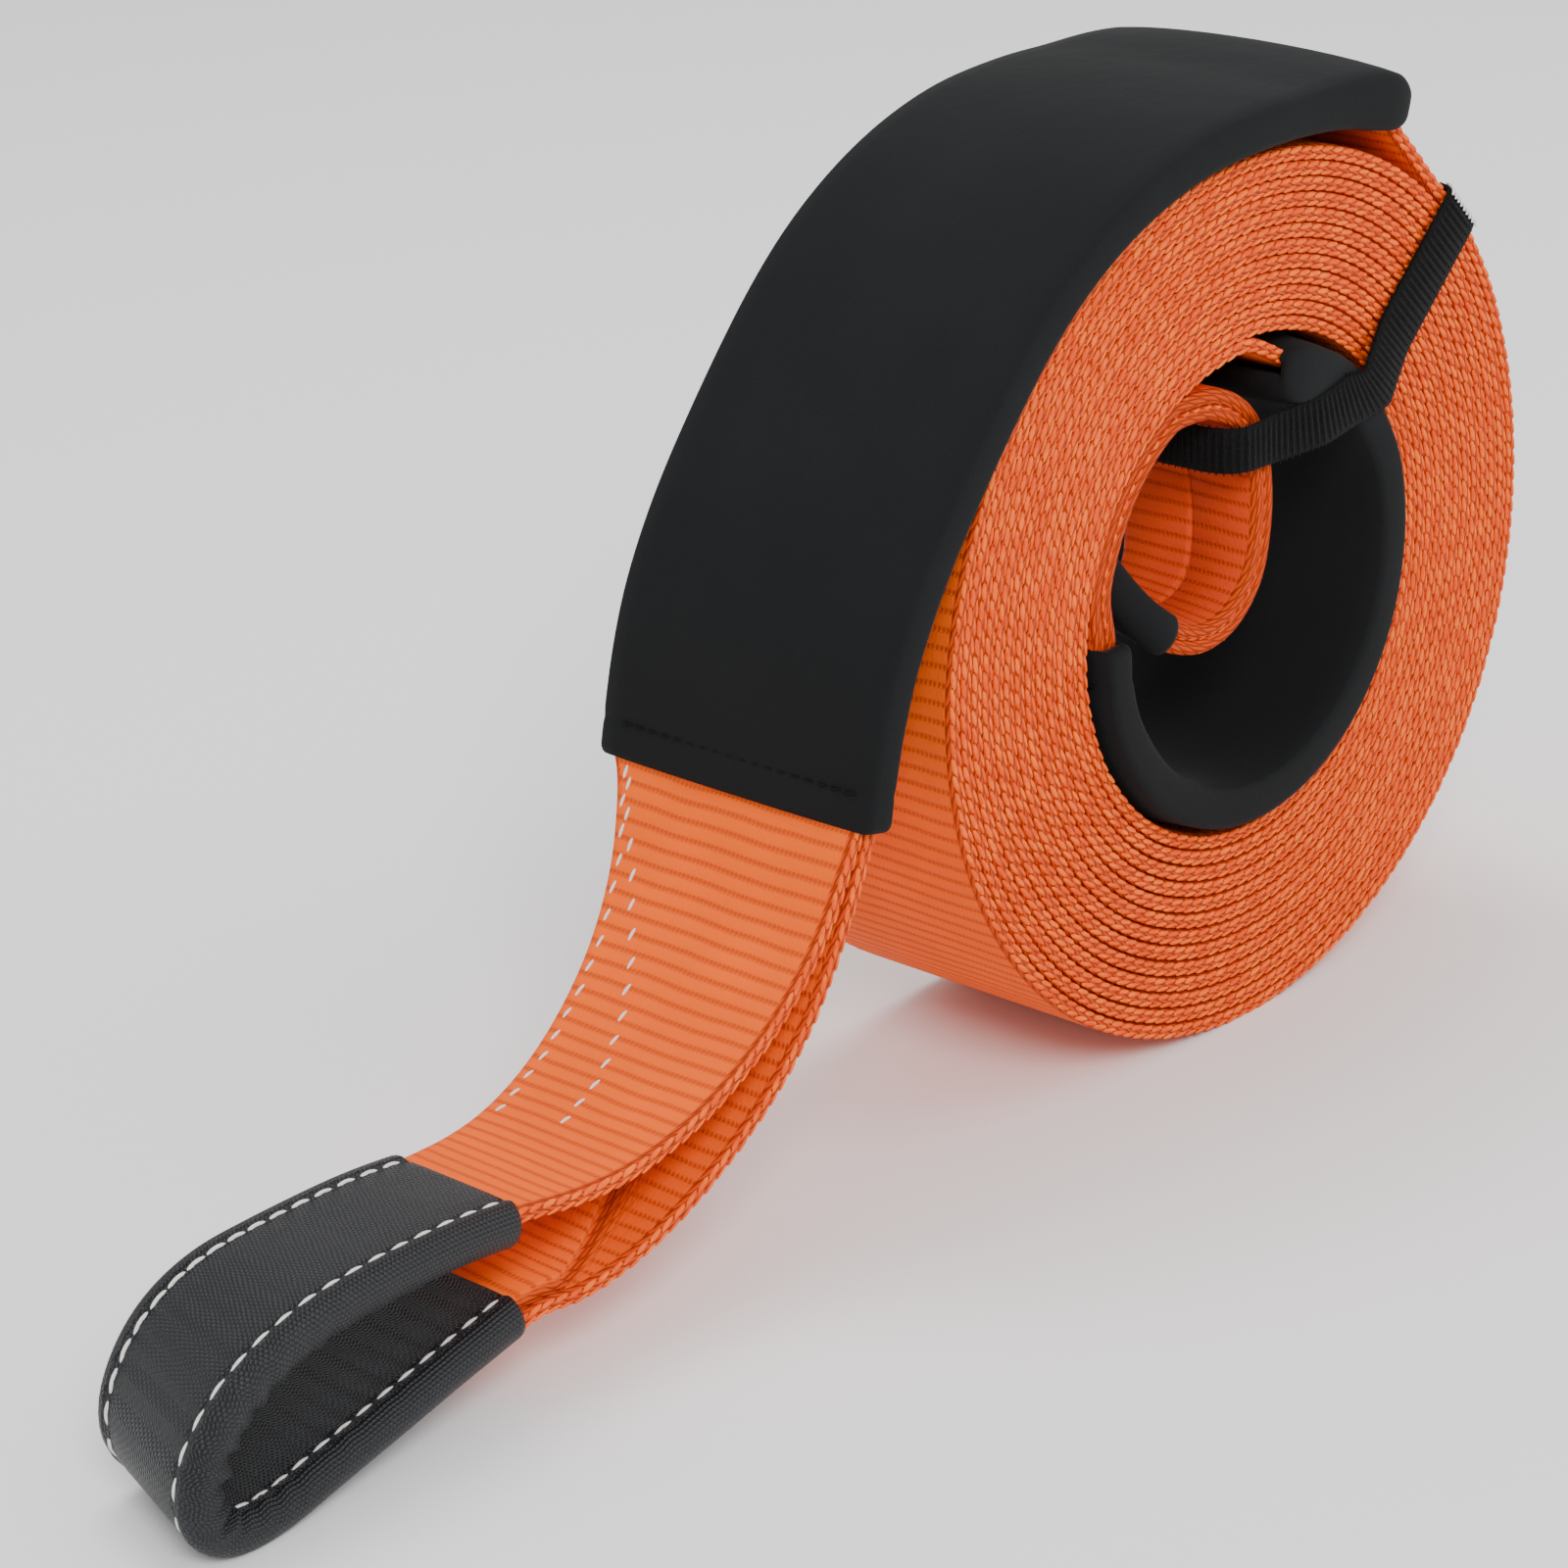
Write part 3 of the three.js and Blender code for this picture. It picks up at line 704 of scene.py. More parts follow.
def aligned_instances(tree, shape, group_in):
    """Puts a shape on each point, its X along the point's direction and its Z out of the face."""
    link = tree.links.new
    read = []
    for name in ("direction", "face"):
        attribute = node_in(tree, "GeometryNodeInputNamedAttribute", data_type="FLOAT_VECTOR")
        attribute.inputs["Name"].default_value = name
        read.append(attribute.outputs["Attribute"])
    first = node_in(tree, "FunctionNodeAlignRotationToVector", axis="X")
    link(read[0], first.inputs["Vector"])
    second = node_in(tree, "FunctionNodeAlignRotationToVector", axis="Z", pivot_axis="X")
    link(first.outputs[0], second.inputs["Rotation"])
    link(read[1], second.inputs["Vector"])
    jitter = node_in(tree, "FunctionNodeRandomValue", data_type="FLOAT")
    scales = [s for s in jitter.inputs if s.type == "VALUE" and s.enabled]
    link(group_in.outputs["Smallest"], scales[0])
    scales[1].default_value = 1.0
    link(group_in.outputs["Seed"], jitter.inputs["Seed"])
    spread = [s for s in jitter.outputs if s.enabled][0]
    put = node_in(tree, "GeometryNodeInstanceOnPoints")
    link(group_in.outputs["Geometry"], put.inputs["Points"])
    link(shape, put.inputs["Instance"])
    link(second.outputs[0], put.inputs["Rotation"])
    link(spread, put.inputs["Scale"])
    real = node_in(tree, "GeometryNodeRealizeInstances")
    link(put.outputs[0], real.inputs[0])
    even = node_in(tree, "GeometryNodeSetShadeSmooth")
    link(real.outputs[0], even.inputs["Geometry"])
    paint = node_in(tree, "GeometryNodeSetMaterial")
    link(even.outputs[0], paint.inputs["Geometry"])
    link(group_in.outputs["Material"], paint.inputs["Material"])
    out = node_in(tree, "NodeGroupOutput")
    link(paint.outputs[0], out.inputs[0])


def times(tree, socket, factor):
    """A number socket times a fixed factor."""
    node = node_in(tree, "ShaderNodeMath", operation="MULTIPLY")
    tree.links.new(socket, node.inputs[0])
    node.inputs[1].default_value = factor
    return node.outputs[0]


def new_tree(name, sizes):
    """A tree with named inputs: the points, the shape's sizes, the smallest scale, a seed and a material."""
    tree = bpy.data.node_groups.new(name, "GeometryNodeTree")
    face = tree.interface
    face.new_socket("Geometry", in_out="INPUT", socket_type="NodeSocketGeometry")
    for size in sizes:
        face.new_socket(size, in_out="INPUT", socket_type="NodeSocketFloat")
    face.new_socket("Smallest", in_out="INPUT", socket_type="NodeSocketFloat")
    face.new_socket("Seed", in_out="INPUT", socket_type="NodeSocketInt")
    face.new_socket("Material", in_out="INPUT", socket_type="NodeSocketMaterial")
    face.new_socket("Geometry", in_out="OUTPUT", socket_type="NodeSocketGeometry")
    return tree, node_in(tree, "NodeGroupInput")


def thread_tree():
    """A stitch is a short bowed thread whose ends dip into the cloth."""
    found = bpy.data.node_groups.get("thread_stitches")
    if found:
        return found
    tree, given = new_tree("thread_stitches", ("Length", "Thickness", "Rise"))
    link = tree.links.new
    half = times(tree, given.outputs["Length"], 0.5)
    minus = times(tree, half, -1.0)
    dip = times(tree, given.outputs["Thickness"], -0.75)
    rise = given.outputs["Rise"]
    bow = node_in(tree, "GeometryNodeCurveQuadraticBezier")
    bow.inputs["Resolution"].default_value = 7
    for name, x, z in (("Start", minus, dip), ("Middle", None, rise), ("End", half, dip)):
        point = node_in(tree, "ShaderNodeCombineXYZ")
        if x is not None:
            link(x, point.inputs[0])
        link(z, point.inputs[2])
        link(point.outputs[0], bow.inputs[name])
    ring = node_in(tree, "GeometryNodeCurvePrimitiveCircle")
    ring.inputs["Resolution"].default_value = 6
    link(times(tree, given.outputs["Thickness"], 0.5), ring.inputs["Radius"])
    tube = node_in(tree, "GeometryNodeCurveToMesh")
    link(bow.outputs[0], tube.inputs["Curve"])
    link(ring.outputs[0], tube.inputs["Profile Curve"])
    tube.inputs["Fill Caps"].default_value = True
    aligned_instances(tree, tube.outputs[0], given)
    return tree


def bead_tree():
    """A long rounded bead, for an edge yarn or a rib of the elastic."""
    found = bpy.data.node_groups.get("rounded_beads")
    if found:
        return found
    tree, given = new_tree("rounded_beads", ("Length", "Width", "Height"))
    link = tree.links.new
    ball = node_in(tree, "GeometryNodeMeshUVSphere")
    ball.inputs["Segments"].default_value = 6
    ball.inputs["Rings"].default_value = 4
    ball.inputs["Radius"].default_value = 0.5
    turn = node_in(tree, "GeometryNodeTransform")
    link(ball.outputs[0], turn.inputs["Geometry"])
    turn.inputs["Rotation"].default_value = (0.0, math.pi / 2, 0.0)
    size = node_in(tree, "ShaderNodeCombineXYZ")
    for i, name in enumerate(("Length", "Width", "Height")):
        link(given.outputs[name], size.inputs[i])
    stretch = node_in(tree, "GeometryNodeTransform")
    link(turn.outputs[0], stretch.inputs["Geometry"])
    link(size.outputs[0], stretch.inputs["Scale"])
    aligned_instances(tree, stretch.outputs[0], given)
    return tree


class Marks:
    """Places for a repeated shape: points in millimetres, the way each runs and the way out of its face."""

    def __init__(self):
        self.points = []
        self.ways = []
        self.faces = []

    def add(self, points, ways, faces):
        self.points.append(points)
        self.ways.append(ways)
        self.faces.append(faces)


def repeated(name, tree, marks, material, sizes, smallest=0.92, seed=3, floor=None):
    """Makes one mesh of a repeated shape, whose sizes are in metres. No point is set below the floor."""
    points, directions, faces = (np.vstack(part) for part in (marks.points, marks.ways, marks.faces))
    if floor is not None:
        points[:, 2] = np.maximum(points[:, 2], floor)
    mesh = bpy.data.meshes.new(name + "_points")
    mesh.from_pydata((points * MM).tolist(), [], [])
    for key, values in (("direction", directions), ("face", faces)):
        layer = mesh.attributes.new(key, "FLOAT_VECTOR", "POINT")
        layer.data.foreach_set("vector", values.astype(float).ravel())
    holder = bpy.data.objects.new(name + "_points", mesh)
    bpy.context.scene.collection.objects.link(holder)
    modifier = holder.modifiers.new("repeat", "NODES")
    modifier.node_group = tree
    given = {"Smallest": smallest, "Seed": seed, "Material": material, **sizes}
    for item in tree.interface.items_tree:
        if item.item_type == "SOCKET" and item.in_out == "INPUT" and item.name in given:
            modifier[item.identifier] = given[item.name]
    bpy.context.view_layer.update()
    graph = bpy.context.evaluated_depsgraph_get()
    made = bpy.data.meshes.new_from_object(holder.evaluated_get(graph))
    bpy.data.objects.remove(holder)
    bpy.data.meshes.remove(mesh)
    if not made.polygons:
        raise RuntimeError(name + " came out empty")
    for key in ("direction", "face"):
        if key in made.attributes:
            made.attributes.remove(made.attributes[key])
    made.name = name
    piece = bpy.data.objects.new(name, made)
    bpy.context.scene.collection.objects.link(piece)
    return piece


# Sizes and colours

class StrapSettings(bpy.types.PropertyGroup):
    """Sizes and colours that change the strap's looks."""

    webbing_colour: bpy.props.FloatVectorProperty(
        name="Webbing", description="Colour of the webbing's yarn", subtype="COLOR",
        default=(0.94, 0.122, 0.0), min=0.0, max=1.0)
    # Painted shade and bounced light: a darker, redder copy of the webbing colour for the curled inner end,
    # standing in for the shade and the orange light bounced inside the curl.
    inner_end_painted_shade: bpy.props.FloatVectorProperty(
        name="Inner end", description="Colour of the webbing's curled inner end", subtype="COLOR",
        default=(0.8, 0.075, 0.012), min=0.0, max=1.0)
    # Painted shade: the colour painted into the rib valleys, the tick gaps and the braided edges. The edge
    # yarns also use it as the dark end of their random tone.
    webbing_painted_shade_and_dark_yarn: bpy.props.FloatVectorProperty(
        name="Webbing shade", description="Colour between the webbing's ribs", subtype="COLOR",
        default=(0.68, 0.06, 0.0), min=0.0, max=1.0)
    strand_colour: bpy.props.FloatVectorProperty(
        name="Edge yarn", description="Lightest colour of the yarn at the webbing's edges", subtype="COLOR",
        default=(1.0, 0.165, 0.01), min=0.0, max=1.0)
    sleeve_colour: bpy.props.FloatVectorProperty(
        name="Sleeve", description="Colour of the soft sleeves", subtype="COLOR",
        default=(0.0062, 0.0068, 0.0075), min=0.0, max=1.0)
    cover_colour: bpy.props.FloatVectorProperty(
        name="Cover", description="Colour of the woven eye covers", subtype="COLOR",
        default=(0.0058, 0.0072, 0.0092), min=0.0, max=1.0)
    band_colour: bpy.props.FloatVectorProperty(
        name="Band", description="Colour of the elastic band", subtype="COLOR",
        default=(0.004, 0.004, 0.0042), min=0.0, max=1.0)
    thread_colour: bpy.props.FloatVectorProperty(
        name="Thread", description="Colour of the pale sewing thread", subtype="COLOR",
        default=(0.82, 0.8, 0.76), min=0.0, max=1.0)
    rib_pitch: bpy.props.FloatProperty(
        name="Rib pitch", description="Distance from one cross rib of the webbing to the next",
        default=4.2 * MM, min=1.0 * MM, max=12.0 * MM, unit="LENGTH")
    stitch_length: bpy.props.FloatProperty(
        name="Stitch length", description="Length of a stitch that shows on the eye's cover",
        default=5.7 * MM, min=1.0 * MM, max=12.0 * MM, unit="LENGTH")
    thread_thickness: bpy.props.FloatProperty(
        name="Thread thickness", description="Thickness of the sewing thread", default=0.95 * MM,
        min=0.2 * MM, max=3.0 * MM, unit="LENGTH")
    yarn_length: bpy.props.FloatProperty(
        name="Edge yarn length", description="Length of a yarn loop along the webbing's edge",
        default=5.5 * MM, min=1.0 * MM, max=15.0 * MM, unit="LENGTH")


class STRAP_OT_webbing(bpy.types.Operator):
    """Build the wound webbing with its tail, folded legs and eye"""

    bl_idname = "strap.webbing"
    bl_label = "Webbing"

    def execute(self, context):
        settings = context.scene.recovery_strap
        path = webbing_path()
        sections, edges = webbing_sections(path)
        rings = rings_on(path, sections)
        rings[..., 2] = np.maximum(rings[..., 2], 0.0)
        cloth = material_for("woven_webbing", webbing_material, settings, settings.webbing_colour)
        piece = loft("webbing_wound", rings, path.s, cloth, edges)
        finished(piece, "webbing")
        return {"FINISHED"}


class STRAP_OT_inner_tail(bpy.types.Operator):
    """Build the doubled inner end that curls up in the bore"""

    bl_idname = "strap.inner_tail"
    bl_label = "Inner end"

    def execute(self, context):
        settings = context.scene.recovery_strap
        path = inner_tail_path()
        sections = []
        edges = []
        for width in path.width:
            top = PLY - 0.06
            near_out = arc(EDGE_ROUND, PLY / 2, EDGE_ROUND, PLY_SOLID / 2, 260, 90, 6)
            near_in = arc(EDGE_ROUND, -PLY / 2, EDGE_ROUND, PLY_SOLID / 2, 270, 100, 6)
            across = np.linspace(EDGE_ROUND + FACE_INSET, width - (INNER_FOLD + FACE_INSET), 5)
            face = np.stack([across, np.full(5, top)], -1)
            far = arc(width - INNER_FOLD, 0, INNER_FOLD, top, 90, -90, 7)
            seam = width * INNER_SEAM_SHARE
            back = np.array([[seam + 2, -top], [seam + 0.3, -top], [seam, -top + 0.9], [seam - 0.6, -top],
                             [EDGE_ROUND + FACE_INSET, -top]])
            sections.append(np.vstack([near_in, near_out, face, far, back]))
            edges.append([1.0] * 12 + [0.0] * 17)
        rings = rings_on(path, np.asarray(sections))
        # The inner end gets its own darker, redder webbing colour as painted shade and painted bounced
        # light.
        cloth = material_for("webbing_inner", webbing_material, settings, settings.inner_end_painted_shade)
        piece = loft("webbing_inner_end", rings, path.s, cloth, np.asarray(edges))
        finished(piece, "webbing")
        return {"FINISHED"}


def yarn_places(start, end, row):
    """Distances of one row's yarns. The second row is half a pitch further along."""
    return np.arange(start + (YARN_PITCH / 2 if row > 0 else 0), end, YARN_PITCH)


def ply_thickness(width):
    """How thick a leg is where its spare width is folded under, up to two plies."""
    return np.minimum(PLY * WEB_WIDTH / width, 2 * PLY)


class STRAP_OT_edge_yarns(bpy.types.Operator):
    """Build the looped yarns along the webbing's woven edges"""

    bl_idname = "strap.edge_yarns"
    bl_label = "Edge yarns"

    def execute(self, context):
        settings = context.scene.recovery_strap
        material = material_for("edge_yarn", strand_material, settings)
        path = webbing_path()
        hem = path.s[path.first_hem]
        sizes = {"Length": settings.yarn_length, "Width": 1.5 * MM, "Height": 1.1 * MM}
        for side, facing, end in (("near", -1, path.s[-4]), ("far", 1, hem)):
            marks = Marks()
            for row in (-1, 1):
                s = yarn_places(path.s[4], end, row)
                index = path.index_at(s)
                cell = index.astype(int)
                width = path.width[cell]
                a = np.full(len(s), YARN_INSET) if facing < 0 else width - YARN_INSET
                out = path.place(index, a, ply_thickness(width) / 2 - PLY / 2 + row * YARN_ROW_HEIGHT)
                shown = ~((out[:, 0] < YARN_HIDDEN_X) & (s > hem))
                ways = path.along[cell] - facing * YARN_LEAN * path.up[cell]
                faces = facing * path.across[cell] + YARN_TURN * row * path.up[cell]
                marks.add(out[shown], ways[shown], faces[shown])
            piece = repeated("edge_yarns_" + side, bead_tree(), marks, material, sizes,
                             smallest=0.86, seed=5, floor=0.5)
            finished(piece, "webbing")
        tail = inner_tail_path()
        marks = Marks()
        for row, share in INNER_YARN_ROWS:
            s = yarn_places(tail.hem - 4, tail.cover, row)
            index = tail.index_at(s)
            cell = index.astype(int)
            out = tail.place(index, np.full(len(s), 0.75), np.full(len(s), PLY * share * 0.92))
            marks.add(out, tail.along[cell] + 0.16 * tail.up[cell], -tail.across[cell])
        sizes = {"Length": 4.6 * MM, "Width": 1.5 * MM, "Height": 0.9 * MM}
        piece = repeated("edge_yarns_inner", bead_tree(), marks, material, sizes, smallest=0.86, seed=8)
        finished(piece, "webbing")
        return {"FINISHED"}


def rounded_end(distance, reach):
    """0 at an end, rising round a quarter circle to 1 when the reach is passed."""
    return np.sqrt(np.clip(1 - ((reach - distance) / reach).clip(0, 1) ** 2, 0, 1))


def flat_oval(angle, half_width, over, under):
    """A flattened tube's section: round sides and nearly flat faces, each with its own height."""
    r = min((over + under) / 2, half_width)
    c = np.cos(angle)
    s = np.sin(angle)
    a = np.sign(c) * (half_width - r) * np.minimum(1.0, np.abs(c) * 1.25) + r * c
    h = np.where(s > 0, over, under) * np.sign(s) * np.abs(s) ** 0.42
    return np.stack([a, h * (1.0 - 0.05 * (a / half_width) ** 2)], -1)


def sleeve_piece(name, middle, material, mouth_round, pinch_at=math.inf):
    """A soft tube pressed flat over two plies, with a rolled lip at its mouth and a sewn hem at its end."""
    length = distances(middle)[-1]
    mouth = np.array([0, 0.2, 0.6, 1.2, 2, 3, 4.2, 5.6, 7.2])
    hem = length - np.array([12, 10.5, 9.6, 9.1, 8.5, 7.9, 7.4, 6.5, 4.5, 2.2, 1.4, 0.8, 0.4, 0.15, 0])
    s = np.concatenate([mouth, np.arange(9, length - 14, 3.0), hem])
    middle = np.stack([np.interp(s, distances(middle), middle[:, k]) for k in (0, 1)], -1)
    swell = MOUTH_SWELL * smooth(1 - s / MOUTH_SWELL_LENGTH)
    squeeze = HEM_SQUEEZE * smooth(1 - (length - s) / 60)
    pinch = smooth(1.4 - np.abs(s - pinch_at) / BAND_WIDTH)
    half_width = WEB_WIDTH / 2 + FIT_GAP + SLEEVE_SIDE_WALL - pinch
    half = SLEEVE_HALF + swell - squeeze
    lip = rounded_end(s, mouth_round)
    groove = HEM_GROOVE * np.exp(-(((length - s) - HEM_SEAM) / 1.3) ** 2)
    hem_end = 1 - rounded_end(length - s, HEM_ROUND)
    angle = np.linspace(0, 2 * np.pi, SLEEVE_POINTS, endpoint=False)
    outer = []
    inner = []
    for i in range(len(s)):
        thinner = groove[i] + hem_end[i] * HEM_THINNER
        over = [nose + (half[i] - nose) * lip[i] - thinner for nose in (PLY + 0.9, LIP_UNDER)]
        side = half_width[i] - (1 - lip[i]) * LIP_NARROWER - hem_end[i] * HEM_NARROWER
        outer.append(flat_oval(angle, side, *over))
        wide = max(half[i] - SLEEVE_LINING, PLY + 0.2)
        open_share = float(smooth((s[i] - 6) / 14))
        room = [least + (wide - least) * open_share for least in (PLY + 0.2, 0.7)]
        inner.append(flat_oval(angle, half_width[i] - SLEEVE_LINING - 1.4, *room))
    path = Path(middle, 0.0, 1.0)
    rings = np.concatenate([rings_on(path, np.asarray(outer)), rings_on(path, np.asarray(inner))[::-1]])
    along = np.concatenate([s, length + 4 + (length - s[::-1])])
    return loft(name, rings, along, material, loop=True)


class STRAP_OT_sleeves(bpy.types.Operator):
    """Build the two soft slide-on sleeves"""

    bl_idname = "strap.sleeves"
    bl_label = "Sleeves"

    def execute(self, context):
        settings = context.scene.recovery_strap
        material = material_for("soft_knit", sleeve_material, settings)
        outer = sleeve_piece("sleeve_outer", outer_middle(), material, OUTER_LIP)
        finished(outer, "outer_sleeve")
        middle = inner_middle()
        pinch = distances(middle)[nearest(middle, in_bore([BAND_DEG], FIT_GAP + SLEEVE_HALF)[0])]
        inner = sleeve_piece("sleeve_inner", middle, material, INNER_LIP, pinch)
        finished(inner, "inner_sleeve")
        return {"FINISHED"}


def cover_sections(count, half, dents, wrinkle):
    """An eye cover's section: puffed rims outside two sewn rows, and a flat middle between them."""
    row_near, row_far = COVER_ROWS
    puff = half + RIM_PUFF
    face = half - FACE_DROP
    sections = []
    for i in range(count):
        low = face - ROW_DENT * dents[i]
        side_near = arc(-COVER_SIDE + puff * SIDE_ROUND, 0, puff * SIDE_ROUND, puff, 250, 110, 9)
        side_far = arc(COVER_WIDTH - COVER_SIDE - puff * SIDE_ROUND, 0, puff * SIDE_ROUND, puff, 70, -70, 9)
        top = np.array([[row_near - 1.5, puff - 0.15], [row_near, low], [row_near + 1.6, face]]
                       + [[a, face + 0.12] for a in np.linspace(row_near + 5, row_far - 5, 4)]
                       + [[row_far - 1.6, face], [row_far, low], [row_far + 1.5, puff - 0.15]])
        bottom = top[::-1] * np.array([1, -1])
        section = np.vstack([side_near, top, side_far, bottom])
        if wrinkle is not None:
            inward = section[:, 1] < 0
            section[inward, 1] += wrinkle[i] * np.exp(-((section[inward, 0] + 0.5) / 5.0) ** 2)
        sections.append(section)
    return np.asarray(sections)


def cover_piece(name, path, low, high, material, wrinkle_at=None):
    """A cover round a stretch of the path, from one station to another, and the path that it lies on."""
    index = np.arange(low, high + 1)
    across = path.across[index]
    part = Path(path.points[index], path.near[index], EYE_WIDTH, across[:, 0], across[:, 2])
    part.along = path.along[index]
    part.up = path.up[index]
    part = refined(part, COVER_STEP)
    s = part.s
    dents = 0.5 + 0.5 * np.cos(2 * np.pi * ((s - STITCH_START) / STITCH_PITCH + 0.5))
    wrinkle = None
    if wrinkle_at is not None:
        near_tip = np.exp(-((s - wrinkle_at) / WRINKLE_REACH) ** 2)
        rng = np.random.default_rng(7)
        waves = sum(rng.uniform(0.2, 0.5) * np.sin(s * rng.uniform(0.35, 1.1) + rng.uniform(0, 6.3))
                    for _ in range(5))
        wrinkle = near_tip * waves * WRINKLE_HEIGHT
    outer = rings_on(part, cover_sections(len(s), COVER_HALF, dents, wrinkle))
    ends = np.minimum(s - s[0], s[-1] - s)
    lip = np.sqrt(np.clip(1 - ((COVER_LIP - ends) / COVER_LIP).clip(0, 1) ** 2, 0.25, 1))
    middle = outer.mean(1, keepdims=True)
    outer = middle + (outer - middle) * (0.97 + 0.03 * lip)[:, None, None]
    inner = rings_on(part, cover_sections(len(s), COVER_HALF, dents * 0, None))
    middle = inner.mean(1, keepdims=True)
    shrink = inner - middle
    size = np.linalg.norm(shrink, axis=2, keepdims=True)
    inner = middle + shrink * (size - COVER_SKIN) / size
    rings = np.concatenate([outer, inner[::-1]])
    along = np.concatenate([s, s[-1] + 3 + s[-1] - s[::-1]])
    return loft(name, rings, along, material, loop=True), part


def refined(path, step):
    """The same stations at a finer step."""
    count = int(round(path.s[-1] / step)) + 1
    at = np.linspace(0, path.s[-1], count)

    def on(values):
        return np.stack([np.interp(at, path.s, values[:, k]) for k in range(values.shape[1])], -1)

    fine = Path(on(path.points), np.interp(at, path.s, path.near), np.interp(at, path.s, path.width))
    fine.across = on(path.across)
    fine.along = on(path.along)
    up = np.cross(fine.along, fine.across)
    fine.up = up / np.linalg.norm(up, axis=1)[:, None]
    return fine


class STRAP_OT_covers(bpy.types.Operator):
    """Build the sewn covers round both eyes"""

    bl_idname = "strap.covers"
    bl_label = "Eye covers"

    def execute(self, context):
        settings = context.scene.recovery_strap
        material = material_for("woven_nylon", cover_material, settings)
        path = webbing_path()
        after = np.arange(len(path.s)) > path.first_hem
        inside = np.where(after & (path.points[:, 0] < COVER_EDGE_X))[0]
        tip = path.s[path.tip] - path.s[inside[0]]
        piece, part = cover_piece("cover_outer_eye", path, inside[0], inside[-1], material, tip)
        finished(piece, "outer_eye_cover")
        thread = material_for("pale_thread", thread_material, settings.thread_colour)
        sizes = {"Length": settings.stitch_length, "Thickness": settings.thread_thickness, "Rise": 0.8 * MM}
        stitches = repeated("stitches_outer_eye", thread_tree(), cover_stitches(part), thread, sizes,
                            smallest=0.95, seed=2)
        finished(stitches, "outer_eye_cover")
        tail = inner_tail_path()
        low = nearest(tail.points, INNER_COVER_START)
        cloth = material_for("soft_knit", sleeve_material, settings)
        piece = cover_piece("cover_inner_eye", tail, low, len(tail.points) - 1, cloth)[0]
        finished(piece, "inner_eye_cover")
        return {"FINISHED"}


def cover_stitches(part):
    """Stitches along both rows, on both faces of a cover."""
    marks = Marks()
    s = np.arange(STITCH_START, part.s[-1] - 2.5, STITCH_PITCH)
    index = part.index_at(s)
    cell = index.astype(int)
    for a in COVER_ROWS:
        for face in (1, -1):
            out = part.place(index, np.full(len(s), a), np.full(len(s), face * (COVER_HALF - FACE_DROP)))
            marks.add(out, part.along[cell], face * part.up[cell])
    return marks


class STRAP_OT_tail_stitches(bpy.types.Operator):
    """Build the rows of pale stitches that hold the folded legs, and the sleeves' dark hem stitches"""

    bl_idname = "strap.tail_stitches"
    bl_label = "Stitches"

    def execute(self, context):
        settings = context.scene.recovery_strap
        thread = material_for("pale_thread", thread_material, settings.thread_colour)
        path = webbing_path()
        marks = Marks()
        for hem, sense in ((path.second_hem, -1), (path.first_hem, 1)):
            for row in (0, 1):
                start = TAIL_STITCH_START + TAIL_ROW_SHIFT * row
                distance = np.arange(start, TAIL_ROW_LENGTH, TAIL_STITCH_PITCH)
                index = path.index_at(path.s[hem] + sense * distance)
                cell = index.astype(int)
                width = path.width[cell]
                top = ply_thickness(width) / 2
                inset = (3.2 + 0.015 * distance) if row == 0 else 4.0 + 18.0 * smooth(distance / 80.0)
                a = width - inset
                run = path.place(index + 0.4, a, top) - path.place(index - 0.4, a, top)
                ways = run / np.linalg.norm(run, axis=1)[:, None]
                marks.add(path.place(index, a, top - 0.1), ways, path.up[cell])
        sizes = {"Length": 4.3 * MM, "Thickness": 0.85 * MM, "Rise": 0.7 * MM}
        piece = repeated("stitches_tail", thread_tree(), marks, thread, sizes, smallest=0.9, seed=4)
        finished(piece, "webbing")
        dark = material_for("dark_thread", thread_material, (0.0025, 0.0025, 0.0027))
        marks = Marks()
        a = np.arange(-HEM_STITCH_REACH, HEM_STITCH_REACH + 0.1, HEM_STITCH_PITCH)
        height = SLEEVE_HALF - HEM_SQUEEZE - HEM_GROOVE + 0.05
        for middle in (outer_middle(), inner_middle()):
            path = Path(middle, 0.0, 1.0)
            index = path.index_at(path.s[-1] - HEM_SEAM)
            for face in (1, -1):
                out = path.place(np.full(len(a), index), a, np.full(len(a), face * height))
                faces = np.tile(face * path.up[int(index)], (len(a), 1))
                marks.add(out, np.tile([0.0, 1.0, 0.0], (len(a), 1)), faces)
        sizes = {"Length": 3.0 * MM, "Thickness": 0.5 * MM, "Rise": 0.35 * MM}
        piece = repeated("stitches_hems", thread_tree(), marks, dark, sizes, smallest=0.9, seed=6)
        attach(piece, "root")
        return {"FINISHED"}


